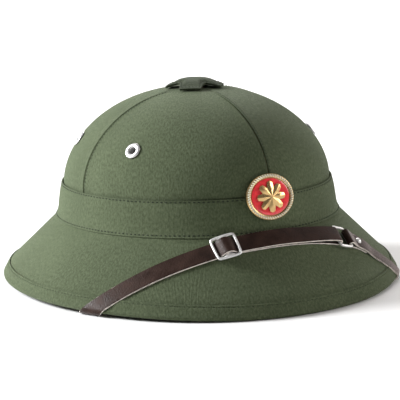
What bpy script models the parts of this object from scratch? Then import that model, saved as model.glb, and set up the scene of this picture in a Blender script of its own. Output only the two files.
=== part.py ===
"""Pith helmet: a pressed shell under sewn cloth, with a leather chin strap worn over the front of the brim.

Metres, +Z up. The helmet stands on its rim, its front faces -Y and the wearer's left is +X. The origin is on the
floor, under the middle of the brim. Angles round the helmet start at the front and grow towards the wearer's left.
"""
import math

import bmesh
import bpy
from mathutils import Matrix, Vector

# Overall form
BRIM_LENGTH = 0.325
BRIM_WIDTH = 0.290
CROWN_LENGTH = 0.2176
CROWN_WIDTH = 0.1946
BRIM_HEIGHT = 0.0485
BAND_HEIGHT = 0.0255
CROWN_RISE = 0.069
BAND_FLARE = 0.0062
CROWN_LEAN = 0.003
FRONT_LIFT = 0.0018
SIDE_LIFT = 0.0024
LEVEL_REACH = 0.25
RIM_FLAT_TURN = math.radians(28)
HEM_SLOPE = math.radians(53)
HEM_LENGTH = 0.0085
CROWN_FULLNESS = (1.81, 2.16)

# Walls and the clearances between them
CLOTH = 0.0010
SHELL = 0.0016
GAP = 0.0003
SEAM_GAP = 0.0004

# Number of flats
PANEL_STEPS = 12
CROWN_STEPS = 8
ROUND_SIDES = 12
WIRE_SIDES = 6

# Ventilation: four eyelets, and a raised cap of four arms over the hole in the top
EYELET_ANGLE = math.radians(64)
EYELET_RISE = 0.475
EYELET_FLANGE = 0.0126
EYELET_HOLE = 0.0062
EYELET_WALL = 0.0007
EYELET_LIP = 0.0008
VENT_HOLE = 0.018
CAP_REACH = 0.0200
CAP_ARM_WIDTH = 0.0160
CAP_RISE = 0.0062
CAP_WALL = 0.0015
CAP_CORNER = 0.0035

# Badge on the front seam
BADGE_WIDTH = 0.0380
BADGE_TALL = 0.0329
BADGE_HEIGHT = 0.0746
BADGE_SIDE = -0.0045
BADGE_TILT = math.radians(11)
BADGE_PLATE = 0.0014
BADGE_RIM_HEIGHT = 0.0026
BADGE_RIM_WIDTH = 0.0030
BADGE_ENAMEL = 0.0006
ROSETTE_RADIUS = 0.0114
ROSETTE_HEIGHT = 0.0022
ROSETTE_PETALS = 8

# Leather chin strap and its hardware
STRAP_WIDTH = 0.0130
STRAP = 0.0012
LOOP_LEATHER = 0.0008
STRAP_OFFSET = 0.0081
STRAP_TURN = math.radians(-1.5)
INNER_GAP = 0.0008
JOINT_LIFT = 0.0010
WIRE = 0.0020
WIRE_ROOM = 0.0011
SLIDE_PLACE = -0.0435
SLIDE_LENGTH = 0.0195
RING_PLACE = 0.0523
RING_LENGTH = 0.0148
FOLD_RADIUS = 0.0023
LAYER_RISE = 0.0031
STUD_PLACE = 0.0775
STUD_HEAD = 0.0054
STUD_RISE = 0.0016
STUD_PIN = 0.0024
SHORT_STRAP_RETURN = 0.0865
STRAP_END_CLIMB = 0.074
ANCHOR_INSET = 0.006
ANCHOR_HEAD = 0.0070
ANCHOR_THICKNESS = 0.0010
ANCHOR_PIN = 0.0030

# Worked out from the sizes above
RIM_RADIUS = CLOTH + GAP + SHELL / 2
HEM_DEPTH = 2 * RIM_RADIUS
SHELL_OUTSIDE = CLOTH + GAP
SHELL_INSIDE = SHELL_OUTSIDE + SHELL
RIM_CENTRE_HEIGHT = RIM_RADIUS * math.cos(RIM_FLAT_TURN)
CROWN_BASE = BRIM_HEIGHT + BAND_HEIGHT
AROUND = 4 * PANEL_STEPS

# Rows of the cloth's outer face in the band: share of the band's height, share of its flare
BAND_ROWS = (
    {"row": "joint", "height": 0.0, "flare": 1.0},
    {"row": "waist", "height": 0.235, "flare": 0.43},
    {"row": "top", "height": 1.0, "flare": 0.0},
)

# Finishes: colour, roughness, metallic
# How far the strap's middle line is bent towards the crown from a straight line on the brim, along the strap
STRAP_LINE = (
    (-0.170, -0.0006), (-0.150, 0.0012), (-0.128, 0.0029), (-0.105, 0.0040), (-0.083, 0.0042), (-0.0435, 0.0036),
    (-0.020, 0.0023), (0.000, 0.0016), (0.020, 0.0011), (0.040, 0.0007), (0.055, -0.0001), (0.070, -0.0008),
    (0.0775, -0.0018), (0.086, -0.0045), (0.0966, -0.0090), (0.1056, -0.0131), (0.120, -0.0197), (0.140, -0.0288),
)

FINISHES = {
    "cloth": ((0.14, 0.17, 0.09), 0.9, 0.0),
    "board": ((0.42, 0.34, 0.22), 0.95, 0.0),
    "leather": ((0.05, 0.03, 0.025), 0.45, 0.0),
    "metal": ((0.75, 0.75, 0.76), 0.25, 1.0),
    "gilt": ((0.85, 0.72, 0.38), 0.3, 1.0),
    "enamel": ((0.55, 0.02, 0.03), 0.2, 0.0),
}


def smooth(value):
    """Ease from 0 to 1 as value goes from 0 to 1."""
    value = min(1.0, max(0.0, value))
    return value * value * (3 - 2 * value)


def ramp(value, start, end):
    """Ease from 0 at start to 1 at end."""
    return smooth((value - start) / (end - start))


def side_share(angle):
    """How much of the side lift the rim has here: none at the front and back, all of it at the sides."""
    return smooth((abs(math.sin(angle)) - LEVEL_REACH) / (1 - LEVEL_REACH))


def oval(half_width, half_length, centre_y, height, angle):
    return Vector((half_width * math.sin(angle), centre_y - half_length * math.cos(angle), height))


def rim_frame(angle):
    """Middle of the rim's rounding, the hem's outward normal there and the direction down the hem."""
    half_width = BRIM_WIDTH / 2 - RIM_RADIUS
    half_length = BRIM_LENGTH / 2 - RIM_RADIUS
    height = RIM_CENTRE_HEIGHT + SIDE_LIFT * side_share(angle)
    centre = oval(half_width, half_length, 0, height, angle)
    outward = Vector((half_length * math.sin(angle), -half_width * math.cos(angle), 0)).normalized()
    normal = outward * math.sin(HEM_SLOPE) + Vector((0, 0, math.cos(HEM_SLOPE)))
    down = outward * math.cos(HEM_SLOPE) - Vector((0, 0, math.sin(HEM_SLOPE)))
    return centre, normal, down


def rim_row(angle):
    centre, normal, _ = rim_frame(angle)
    return centre + normal * RIM_RADIUS


def hem_row(angle):
    _, _, down = rim_frame(angle)
    return rim_row(angle) - down * HEM_LENGTH


def band_row(height, flare):
    def row(angle):
        level = BRIM_HEIGHT + height * BAND_HEIGHT + FRONT_LIFT * math.cos(angle)
        reach = flare * BAND_FLARE
        return oval(CROWN_WIDTH / 2 + reach, CROWN_LENGTH / 2 + reach, 0, level, angle)
    return row


def crown_reach(rise):
    """Share of the crown's half width that is left at this share of its rise."""
    return (1 - rise ** CROWN_FULLNESS[0]) ** (1 / CROWN_FULLNESS[1])


def crown_point(rise, angle):
    reach = crown_reach(rise)
    level = CROWN_BASE + rise * CROWN_RISE + FRONT_LIFT * (1 - rise) * math.cos(angle)
    return oval(reach * CROWN_WIDTH / 2, reach * CROWN_LENGTH / 2, -CROWN_LEAN * rise, level, angle)


def crown_row(rise):
    return lambda angle: crown_point(rise, angle)


def vent_rise():
    """The crown's share of rise where its top opening is cut."""
    reach = VENT_HOLE / CROWN_WIDTH
    return (1 - reach ** CROWN_FULLNESS[1]) ** (1 / CROWN_FULLNESS[0])


def surface_rows():
    """The rows of the cloth's outer face from the rim to the top opening, and the places of the named ones."""
    rows = [rim_row, hem_row]
    rows += [band_row(entry["height"], entry["flare"]) for entry in BAND_ROWS]
    quarter = math.pi / 2
    rows += [crown_row(math.sin(quarter * step / CROWN_STEPS)) for step in range(1, CROWN_STEPS)]
    rows.append(crown_row(vent_rise()))
    return rows


ROWS = surface_rows()
RIM, HEM, JOINT, WAIST, BAND_TOP = range(5)
TOP = len(ROWS) - 1


def surface(level, angle):
    """Point on the cloth's outer face; level counts rows up from the rim and may lie between two."""
    low = min(int(level), TOP - 1)
    return ROWS[low](angle).lerp(ROWS[low + 1](angle), level - low)


def strip_normal(low, angle):
    """Outward normal of the strip between row low and the next."""
    step = math.radians(1)
    along = surface(low + 0.5, angle + step) - surface(low + 0.5, angle - step)
    return along.cross(ROWS[low + 1](angle) - ROWS[low](angle)).normalized()


def surface_normal(level, angle):
    """Outward normal, shared by the two strips that meet on a row."""
    low = min(int(level), TOP - 1)
    if level - low > 0.001 or low == 0:
        return strip_normal(low, angle)
    if level >= TOP:
        return strip_normal(TOP - 1, angle)
    return (strip_normal(low - 1, angle) + strip_normal(low, angle)).normalized()


def wall_point(level, angle, depth):
    """Point at a depth under the cloth's outer face."""
    return surface(level, angle) - surface_normal(level, angle) * depth


def inset_level(level, up, distance):
    """The level that lies a distance along the wall from a row, measured at the side of the helmet."""
    strip = (surface(level + up, math.pi / 2) - surface(level, math.pi / 2)).length
    return level + up * distance / strip


def material(name):
    colour, roughness, metallic = FINISHES[name]
    made = bpy.data.materials.get(name) or bpy.data.materials.new(name)
    made.use_nodes = True
    shader = made.node_tree.nodes["Principled BSDF"]
    shader.inputs["Base Color"].default_value = (*colour, 1)
    shader.inputs["Roughness"].default_value = roughness
    shader.inputs["Metallic"].default_value = metallic
    return made


def add_object(name, mesh, finish, parent, place=None):
    """Link a mesh as a named piece of the helmet."""
    piece = bpy.data.objects.new(name, mesh)
    bpy.context.scene.collection.objects.link(piece)
    if finish:
        mesh.materials.append(material(finish))
        mesh.shade_smooth()
        mesh.set_sharp_from_angle(angle=math.radians(35))
    piece.parent = parent
    piece.matrix_local = place or Matrix()
    return piece


def grid_faces(rows, columns, wrap, flip, start=0):
    """Quads over a grid of points that are numbered row by row."""
    faces = []
    for row in range(rows - 1):
        for column in range(columns if wrap else columns - 1):
            following = (column + 1) % columns
            quad = [start + row * columns + column, start + row * columns + following,
                    start + (row + 1) * columns + following, start + (row + 1) * columns + column]
            faces.append(quad[::-1] if flip else quad)
    return faces


def sheet_mesh(name, outer, inner, wrap):
    """A closed wall between two grids of points, outer and inner, each a list of equal rows."""
    rows = len(outer)
    columns = len(outer[0])
    points = [point for row in outer for point in row] + [point for row in inner for point in row]
    count = rows * columns
    faces = grid_faces(rows, columns, wrap, False) + grid_faces(rows, columns, wrap, True, count)
    for row, flip in ((0, False), (rows - 1, True)):
        for column in range(columns if wrap else columns - 1):
            first = row * columns + column
            second = row * columns + (column + 1) % columns
            quad = [first, first + count, second + count, second]
            faces.append(quad[::-1] if flip else quad)
    if not wrap:
        for column, flip in ((0, True), (columns - 1, False)):
            for row in range(rows - 1):
                first = row * columns + column
                second = first + columns
                quad = [first, first + count, second + count, second]
                faces.append(quad[::-1] if flip else quad)
    mesh = bpy.data.meshes.new(name)
    mesh.from_pydata(points, [], faces)
    return mesh


def turned_mesh(name, profile, sides, widen=1.0):
    """A solid turned about +Z from an outline of (radius, height) points, in order up the outside and back."""
    shape = bmesh.new()
    rings = []
    for radius, height in profile:
        if radius == 0:
            rings.append([shape.verts.new((0, 0, height))])
            continue
        ring = []
        for side in range(sides):
            turn = math.tau * side / sides
            ring.append(shape.verts.new((radius * widen * math.cos(turn), radius * math.sin(turn), height)))
        rings.append(ring)
    closed = profile[0][0] > 0
    pairs = list(zip(rings, rings[1:])) + ([(rings[-1], rings[0])] if closed else [])
    for low, high in pairs:
        for side in range(sides):
            following = (side + 1) % sides
            corners = [low[side % len(low)], low[following % len(low)],
                       high[following % len(high)], high[side % len(high)]]
            unique = list(dict.fromkeys(corners))
            shape.faces.new(unique)
    mesh = bpy.data.meshes.new(name)
    shape.to_mesh(mesh)
    shape.free()
    return mesh


def placed(origin, normal, up):
    """Axes at a point: +Z along the normal, +Y as near to up as it can be."""
    z_axis = normal.normalized()
    x_axis = up.cross(z_axis).normalized()
    y_axis = z_axis.cross(x_axis)
    return Matrix.Translation(origin) @ Matrix((x_axis, y_axis, z_axis)).transposed().to_4x4()


def combine(piece, name, tools, operation):
    """Cut or join a piece with guides that are left out of the model."""
    for index, tool in enumerate(tools):
        tool.hide_render = True
        tool.display_type = "WIRE"
        change = piece.modifiers.new(f"{name}_{index}", "BOOLEAN")
        change.operation = operation
        change.object = tool


def rod_guide(name, parent, place, radius, low, high):
    """A plain round rod along the local +Z of a place."""
    mesh = turned_mesh(name, [(0, low), (radius, low), (radius, high), (0, high)], ROUND_SIDES)
    return add_object(name, mesh, None, parent, place)


def ring_of_angles():
    return [math.tau * step / AROUND for step in range(AROUND)]


def wall_ring(levels, depth):
    return [[wall_point(level, angle, depth) for angle in ring_of_angles()] for level in levels]


def add_shell(helmet):
    levels = [RIM, HEM, HEM + 0.5, JOINT] + list(range(WAIST, TOP + 1))
    mesh = sheet_mesh("shell", wall_ring(levels, SHELL_OUTSIDE), wall_ring(levels, SHELL_INSIDE), True)
    return add_object("shell", mesh, "board", helmet)


def panel_grid(levels, first_angle, depth):
    """One quarter of the crown's cloth, drawn back a little from the seams at its two sides."""
    rows = []
    for level in levels:
        row = []
        for step in range(PANEL_STEPS + 1):
            angle = first_angle + math.pi / 2 * step / PANEL_STEPS
            point = wall_point(level, angle, depth)
            if step in (0, PANEL_STEPS):
                along = (surface(level, angle + 0.01) - surface(level, angle - 0.01)).normalized()
                point += along * SEAM_GAP / 2 * (1 if step == 0 else -1)
            row.append(point)
        rows.append(row)
    return rows


def add_crown_panels(helmet):
    """Four cloth panels whose seams run up the front, the sides and the back."""
    names = ("front_left", "back_left", "back_right", "front_right")
    levels = [inset_level(JOINT, 1, SEAM_GAP / 2)] + list(range(WAIST, TOP + 1))
    panels = []
    for quarter, name in enumerate(names):
        first_angle = quarter * math.pi / 2
        outer = panel_grid(levels, first_angle, 0)
        inner = panel_grid(levels, first_angle, CLOTH)
        mesh = sheet_mesh(f"crown_panel_{name}", outer, inner, False)
        panels.append(add_object(f"crown_panel_{name}", mesh, "cloth", helmet))
    return panels


def add_band(helmet):
    """Cloth band that lies over the foot of the crown panels."""
    levels = [inset_level(JOINT, 1, SEAM_GAP / 2), WAIST, BAND_TOP]
    mesh = sheet_mesh("band", wall_ring(levels, -GAP - CLOTH), wall_ring(levels, -GAP), True)
    return add_object("band", mesh, "cloth", helmet)


def add_brim_cover(helmet):
    levels = [inset_level(HEM, 1, SEAM_GAP / 2), HEM + 0.5, inset_level(JOINT, -1, SEAM_GAP / 2)]
    mesh = sheet_mesh("brim_cover", wall_ring(levels, 0), wall_ring(levels, CLOTH), True)
    return add_object("brim_cover", mesh, "cloth", helmet)


def hem_section(angle):
    """Outline of the folded hem across the rim: up the outside, round the rim's foot and up the inside, then back."""
    centre, normal, down = rim_frame(angle)
    lowest = math.pi / 2 + (math.pi / 2 - HEM_SLOPE)
    outside_turns = (0, lowest / 2 - RIM_FLAT_TURN / 2, lowest - RIM_FLAT_TURN, lowest + RIM_FLAT_TURN, math.pi)
    inside_turns = (math.pi, 2 * math.pi / 3, math.pi / 3, 0)
    leg = HEM_LENGTH - SEAM_GAP / 2
    channel = RIM_RADIUS - CLOTH

    def around(radius, turn):
        return centre + (normal * math.cos(turn) + down * math.sin(turn)) * radius

    section = [centre + normal * RIM_RADIUS - down * leg]
    section += [around(RIM_RADIUS, turn) for turn in outside_turns]
    section += [centre - normal * RIM_RADIUS - down * leg, centre - normal * channel - down * leg]
    section += [around(channel, turn) for turn in inside_turns]
    section.append(centre + normal * channel - down * leg)
    return section


def add_brim_hem(helmet):
    """Cloth hem folded round the rim. Its foot is flat at the front and back, where the helmet stands."""
    sections = [hem_section(angle) for angle in ring_of_angles()]
    count = len(sections[0])
    points = [point for section in sections for point in section]
    faces = []
    for step in range(AROUND):
        following = (step + 1) % AROUND
        for corner in range(count):
            after = (corner + 1) % count
            faces.append([step * count + corner, step * count + after,
                          following * count + after, following * count + corner])
    mesh = bpy.data.meshes.new("brim_hem")
    mesh.from_pydata(points, [], faces)
    return add_object("brim_hem", mesh, "cloth", helmet)


def eyelet_places():
    """Where the four eyelets sit, each with +Z out of the crown."""
    places = []
    for angle in (EYELET_ANGLE, math.pi - EYELET_ANGLE, math.pi + EYELET_ANGLE, -EYELET_ANGLE):
        point = crown_point(EYELET_RISE, angle)
        step = 0.01
        along = crown_point(EYELET_RISE, angle + step) - crown_point(EYELET_RISE, angle - step)
        upward = crown_point(EYELET_RISE + step, angle) - crown_point(EYELET_RISE - step, angle)
        places.append(placed(point, along.cross(upward), Vector((0, 0, 1))))
    return places


def add_eyelets(helmet):
    """Metal eyelets with an outer flange, a tube through the wall and a rolled inner lip."""
    names = ("front_left", "back_left", "back_right", "front_right")
    hole = EYELET_HOLE / 2
    tube = hole + EYELET_WALL
    flange = EYELET_FLANGE / 2
    inside = -SHELL_INSIDE - 2 * GAP
    lip = tube + EYELET_LIP * 1.5
    profile = [
        (tube, inside), (tube, GAP), (flange, GAP), (flange - EYELET_LIP / 2, GAP + EYELET_LIP),
        (hole, GAP + EYELET_LIP), (hole, inside - EYELET_LIP), (lip, inside - EYELET_LIP), (lip, inside),
    ]
    for name, place in zip(names, eyelet_places()):
        mesh = turned_mesh(f"eyelet_{name}", profile, ROUND_SIDES)
        add_object(f"eyelet_{name}", mesh, "metal", helmet, place)
    return tube + GAP


def cut_vent_holes(helmet, shell, panels, radius):
    """Open the shell and the panels for the eyelets."""
    for panel, place in zip(panels, eyelet_places()):
        guide = rod_guide(f"cut_{panel.name}", helmet, place, radius, -4 * SHELL_INSIDE, 4 * SHELL_INSIDE)
        combine(panel, "vent", [guide], "DIFFERENCE")
        combine(shell, f"vent_{panel.name}", [guide], "DIFFERENCE")


def cap_outline():
    """Outline of the ventilator cap seen from above: four arms that point at the middles of the panels."""
    half = CAP_ARM_WIDTH / 2
    straight = CAP_REACH - CAP_CORNER
    points = []
    for arm in range(4):
        turn = math.pi / 4 + arm * math.pi / 2
        tip = [(half + CAP_CORNER / 2, -half - CAP_CORNER / 2), (straight, -half), (CAP_REACH, -half + CAP_CORNER),
               (CAP_REACH, half - CAP_CORNER), (straight, half)]
        for forward, across in tip:
            points.append((forward * math.cos(turn) - across * math.sin(turn),
                           forward * math.sin(turn) + across * math.cos(turn)))
    return points


def crown_top_height(x, y):
    """Height of the crown's cloth near its top."""
    reach = math.hypot(x / (CROWN_WIDTH / 2), (y + CROWN_LEAN) / (CROWN_LENGTH / 2))
    rise = (1 - reach ** CROWN_FULLNESS[1]) ** (1 / CROWN_FULLNESS[0])
    return CROWN_BASE + rise * CROWN_RISE


def add_vent_cap(helmet):
    """Cloth covered cap that bridges the top opening and comes down to the crown at its four tips."""
    outline = cap_outline()
    shares = (0.35, 0.7, 1.0)
    middle = (0, -CROWN_LEAN)
    top = CROWN_BASE + CROWN_RISE + CAP_RISE

    def height(share, x, y):
        reach = math.hypot(x, y) * share / CAP_REACH
        seat = crown_top_height(x * share, y * share - CROWN_LEAN) + 1.5 * GAP
        return (top - CAP_WALL) * (1 - reach ** 2) + seat * reach ** 2

    points = []
    for lift in (CAP_WALL, 0):
        points.append(Vector((*middle, height(0, 1, 0) + lift)))
        for share in shares:
            for x, y in outline:
                points.append(Vector((x * share, y * share - CROWN_LEAN, height(share, x, y) + lift)))
    count = len(outline)
    layer = 1 + count * len(shares)
    faces = []
    for offset, flip in ((0, False), (layer, True)):
        for corner in range(count):
            following = (corner + 1) % count
            fan = [offset, offset + 1 + corner, offset + 1 + following]
            faces.append(fan[::-1] if flip else fan)
        faces += grid_faces(len(shares), count, True, not flip, offset + 1)
    edge = 1 + count * (len(shares) - 1)
    for corner in range(count):
        following = (corner + 1) % count
        faces.append([edge + corner, layer + edge + corner, layer + edge + following, edge + following])
    mesh = bpy.data.meshes.new("vent_cap")
    mesh.from_pydata(points, [], faces)
    return add_object("vent_cap", mesh, "cloth", helmet)


def badge_place():
    """The badge stands upright against the front, just clear of the band and the crown behind it."""
    turn = math.asin(BADGE_SIDE / (CROWN_WIDTH / 2))
    level = Vector((math.sin(turn) / CROWN_WIDTH, -math.cos(turn) / CROWN_LENGTH, 0)).normalized()
    normal = level * math.cos(BADGE_TILT) + Vector((0, 0, math.sin(BADGE_TILT)))
    across = Vector((-level.y, level.x, 0))
    centre = Vector((BADGE_SIDE, -CROWN_LENGTH / 2 * math.cos(turn), BADGE_HEIGHT))
    reach = 0
    for step in range(-12, 13):
        for height in (WAIST, BAND_TOP, BAND_TOP + 0.5, BAND_TOP + 1, BAND_TOP + 2):
            point = wall_point(height, turn + math.radians(step), -GAP - CLOTH if height <= BAND_TOP else 0)
            beside = point - centre - normal * (point - centre).dot(normal)
            sideways = beside.dot(across)
            upward = math.sqrt(max(0, beside.length_squared - sideways ** 2))
            if math.hypot(sideways / BADGE_WIDTH, upward / BADGE_TALL) <= 0.5:
                reach = max(reach, (point - centre).dot(normal))
    return placed(centre + normal * (reach + GAP), normal, Vector((0, 0, 1)))


def add_badge(helmet):
    """Oval badge: a rimmed plate, an enamel field in its recess and a raised rosette."""
    widen = BADGE_WIDTH / BADGE_TALL
    place = badge_place()
    radius = BADGE_TALL / 2
    bevel = BADGE_RIM_WIDTH / 5
    recess = radius - BADGE_RIM_WIDTH
    plate = [
        (0, 0), (radius - bevel, 0), (radius, bevel), (radius, BADGE_RIM_HEIGHT - bevel),
        (radius - bevel, BADGE_RIM_HEIGHT), (recess + bevel, BADGE_RIM_HEIGHT), (recess, BADGE_PLATE),
        (0, BADGE_PLATE),
    ]
    sides = 2 * ROUND_SIDES
    add_object("badge_plate", turned_mesh("badge_plate", plate, sides, widen), "gilt", helmet, place)
    low = BADGE_PLATE + GAP
    field = recess - GAP
    enamel = [(0, low), (field, low), (field, low + BADGE_ENAMEL / 2), (0, low + BADGE_ENAMEL)]
    add_object("badge_enamel", turned_mesh("badge_enamel", enamel, sides, widen), "enamel", helmet, place)
    add_object("badge_rosette", rosette_mesh(low + BADGE_ENAMEL + GAP), "gilt", helmet, place)


def rosette_mesh(low):
    """Eight round petals, each with a raised ridge, about a raised middle."""
    steps = 2 * ROSETTE_PETALS
    notch = ROSETTE_RADIUS * 0.62
    shoulder = ROSETTE_RADIUS * 0.93
    shape = bmesh.new()
    foot = []
    for petal in range(ROSETTE_PETALS):
        turn = math.tau * petal / ROSETTE_PETALS
        spread = math.tau / steps
        for reach, offset in ((notch, -spread), (shoulder, -spread * 0.5), (ROSETTE_RADIUS, 0),
                              (shoulder, spread * 0.5)):
            foot.append((reach * math.cos(turn + offset), reach * math.sin(turn + offset)))
    bottom = [shape.verts.new((x, y, low)) for x, y in foot]
    edge = [shape.verts.new((x, y, low + ROSETTE_HEIGHT * 0.25)) for x, y in foot]
    ridge = []
    for index, (x, y) in enumerate(foot):
        on_ridge = index % 4 == 2
        height = ROSETTE_HEIGHT * (0.85 if on_ridge else 0.45)
        share = 0.55 if on_ridge else 0.6
        ridge.append(shape.verts.new((x * share, y * share, low + height)))
    bottom_middle = shape.verts.new((0, 0, low))
    top_middle = shape.verts.new((0, 0, low + ROSETTE_HEIGHT))
    count = len(foot)
    for index in range(count):
        following = (index + 1) % count
        shape.faces.new((bottom_middle, bottom[following], bottom[index]))
        shape.faces.new((bottom[index], bottom[following], edge[following], edge[index]))
        shape.faces.new((edge[index], edge[following], ridge[following], ridge[index]))
        shape.faces.new((ridge[index], ridge[following], top_middle))
    mesh = bpy.data.meshes.new("badge_rosette")
    shape.to_mesh(mesh)
    shape.free()
    return mesh


# The strap lies on the brim as on a cone that is laid out flat. There its middle line is straight, so it keeps its
# width and stays flat against the cloth. These are the cone's mean sizes.
MEAN_RIM = (BRIM_LENGTH + BRIM_WIDTH) / 4
MEAN_JOINT = (CROWN_LENGTH + CROWN_WIDTH) / 4 + BAND_FLARE
CONE_SLANT = math.hypot(MEAN_RIM - MEAN_JOINT, BRIM_HEIGHT - RIM_CENTRE_HEIGHT)
CONE_STRETCH = CONE_SLANT / (MEAN_RIM - MEAN_JOINT)
CONE_TURN = 1 / CONE_STRETCH
CONE_JOINT = MEAN_JOINT * CONE_STRETCH
CONE_RIM = CONE_JOINT + CONE_SLANT
CONE_NEAR = CONE_JOINT + STRAP_OFFSET
SKEW_RUN = 0.04


def strap_line(along):
    """Bend of the strap's middle line towards the crown, and the bend's slope, at a distance along the strap."""
    index = 1
    while index < len(STRAP_LINE) - 3 and along > STRAP_LINE[index + 1][0]:
        index += 1
    before, start, end, after = STRAP_LINE[index - 1:index + 3]
    width = end[0] - start[0]
    share = (along - start[0]) / width
    mean = (end[1] - start[1]) / width
    first = (end[1] - before[1]) / (end[0] - before[0])
    last = (after[1] - start[1]) / (after[0] - start[0])
    second_part = 3 * mean - 2 * first - last
    third_part = first + last - 2 * mean
    bend = start[1] + width * share * (first + share * (second_part + share * third_part))
    return bend, first + share * (2 * second_part + 3 * share * third_part)


def flat_line(along):
    """The strap's middle line and direction on the brim laid out flat, from the cone's tip."""
    bend, slope = strap_line(along)
    return Vector((along, CONE_NEAR - bend)), Vector((1, -slope)).normalized()


def rim_crossing(side):
    """Where the strap's middle line meets the rim: its place along the strap, angle, and the crossing's cosine."""
    near, far = 0.0, 0.16
    for step in range(40):
        middle = (near + far) / 2
        if flat_line(side * middle)[0].length < CONE_RIM:
            near = middle
        else:
            far = middle
    point, direction = flat_line(side * near)
    return side * near, abs(math.atan2(point.x, point.y)) / CONE_TURN, abs(direction.dot(point)) / point.length


RIM_CROSSING = {side: rim_crossing(side) for side in (-1, 1)}
WRAP_RADIUS = RIM_RADIUS + (GAP + INNER_GAP + STRAP) / 2
WRAP_SHIFT = (INNER_GAP - GAP) / 2
LOW = GAP + STRAP / 2


def climb(distance, angle):
    """Point and outward normal a distance up the wall from the rim row."""
    for low in range(TOP):
        length = (ROWS[low + 1](angle) - ROWS[low](angle)).length
        if distance <= length or low == TOP - 1:
            level = low + distance / length
            break
        distance -= length
    blend_reach = 0.4
    part = level - low
    normal = strip_normal(low, angle)
    if part > 1 - blend_reach:
        share = (part - 1 + blend_reach) / blend_reach / 2
        normal = normal.lerp(strip_normal(low + 1, angle), share).normalized()
    elif part < blend_reach and low > 0:
        share = (blend_reach - part) / blend_reach / 2
        normal = normal.lerp(strip_normal(low - 1, angle), share).normalized()
    return surface(level, angle), normal


def slant_length(angle):
    return sum((ROWS[low + 1](angle) - ROWS[low](angle)).length for low in (RIM, HEM))


def on_brim(along, across, height):
    """Point over the brim: along the strap from the front, across it towards the crown, and above the cloth."""
    middle, direction = flat_line(along)
    flat = middle + across * Vector((direction.y, -direction.x))
    forward = flat.dot(direction)
    level = math.sqrt(max(0, forward ** 2 + middle.length_squared - flat.length_squared))
    rim = abs(RIM_CROSSING[1 if along > 0 else -1][0])
    skew = ramp(abs(along), rim - SKEW_RUN, rim)
    flat += direction * (skew * (math.copysign(level, forward) - forward))
    angle = STRAP_TURN + math.atan2(flat.x, flat.y) / CONE_TURN
    slant = slant_length(angle)
    distance = (CONE_RIM - flat.length) / CONE_SLANT * slant
    point, normal = climb(max(distance, 0), angle)
    return point + normal * (height + JOINT_LIFT * ramp(distance, slant - 0.003, slant + 0.001))


def rim_turn(side):
    """Angle where the strap crosses the rim, and the tangent and cosine of the crossing."""
    _, angle, cosine = RIM_CROSSING[side]
    return angle, math.sqrt(1 - cosine ** 2) / cosine, cosine


def round_rim(turn, across, out, side):
    """Point of the strap where it wraps the rim: turn goes from 0 outside to pi inside."""
    crossing, tangent, cosine = rim_turn(side)
    middle = crossing + tangent * WRAP_RADIUS * turn / MEAN_RIM
    angle = STRAP_TURN + side * (middle + across / (MEAN_RIM * cosine))
    centre, normal, down = rim_frame(angle)
    return centre - normal * WRAP_SHIFT + (normal * math.cos(turn) + down * math.sin(turn)) * (WRAP_RADIUS + out)


def under_brim(distance, across, out, side):
    """Point of the strap on the inside of the wall, where it climbs from the rim to its anchor."""
    crossing, slant, _ = rim_turn(side)
    share = distance / STRAP_END_CLIMB
    start = crossing + slant * WRAP_RADIUS * math.pi / MEAN_RIM
    swing = slant * STRAP_END_CLIMB / MEAN_RIM * 2 / math.pi
    middle = start + swing * math.sin(math.pi / 2 * share)
    radius = MEAN_RIM + (MEAN_JOINT - MEAN_RIM) * min(1, distance / CONE_SLANT)
    tangent = radius / MEAN_RIM * slant * math.cos(math.pi / 2 * share)
    angle = STRAP_TURN + side * (middle + across * math.sqrt(1 + tangent ** 2) / radius)
    point, normal = climb(distance, angle)
    depth = HEM_DEPTH - (HEM_DEPTH - SHELL_INSIDE) * ramp(distance, 1.2 * HEM_LENGTH, 3 * HEM_LENGTH)
    return point - normal * (depth + INNER_GAP + STRAP / 2 + out)


ACROSS = (-STRAP_WIDTH / 2, 0, STRAP_WIDTH / 2)


def hidden_rows(side):
    """Rows of the strap from its anchor inside, round the rim, as pairs of outer and inner points."""
    rows = []
    climbs = 9
    for step in range(climbs):
        distance = STRAP_END_CLIMB * (1 - (step / climbs) ** 1.6)
        rows.append([[under_brim(distance, across, out, side) for across in ACROSS]
                     for out in (STRAP / 2, -STRAP / 2)])
    turns = 7
    for step in range(turns + 1):
        turn = math.pi * (1 - step / turns)
        rows.append([[round_rim(turn, across, out, side) for across in ACROSS] for out in (STRAP / 2, -STRAP / 2)])
    return rows


def path_rows(path):
    """Rows of the strap along a path of (along, height, thickness) points over the brim."""
    rows = []
    for index, (along, height, thickness) in enumerate(path):
        before = path[max(index - 1, 0)]
        after = path[min(index + 1, len(path) - 1)]
        run = Vector((after[0] - before[0], after[1] - before[1])).normalized()
        rise = Vector((-run.y, run.x)) * thickness / 2
        rows.append([[on_brim(along + sign * rise.x, across, height + sign * rise.y) for across in ACROSS]
                     for sign in (1, -1)])
    return rows


def strap_mesh(name, rows):
    outer = [row[0] for row in rows]
    inner = [row[1] for row in rows]
    mesh = sheet_mesh(name, outer, inner, False)
    shape = bmesh.new()
    shape.from_mesh(mesh)
    bmesh.ops.recalc_face_normals(shape, faces=shape.faces)
    shape.to_mesh(mesh)
    shape.free()
    return mesh


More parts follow.
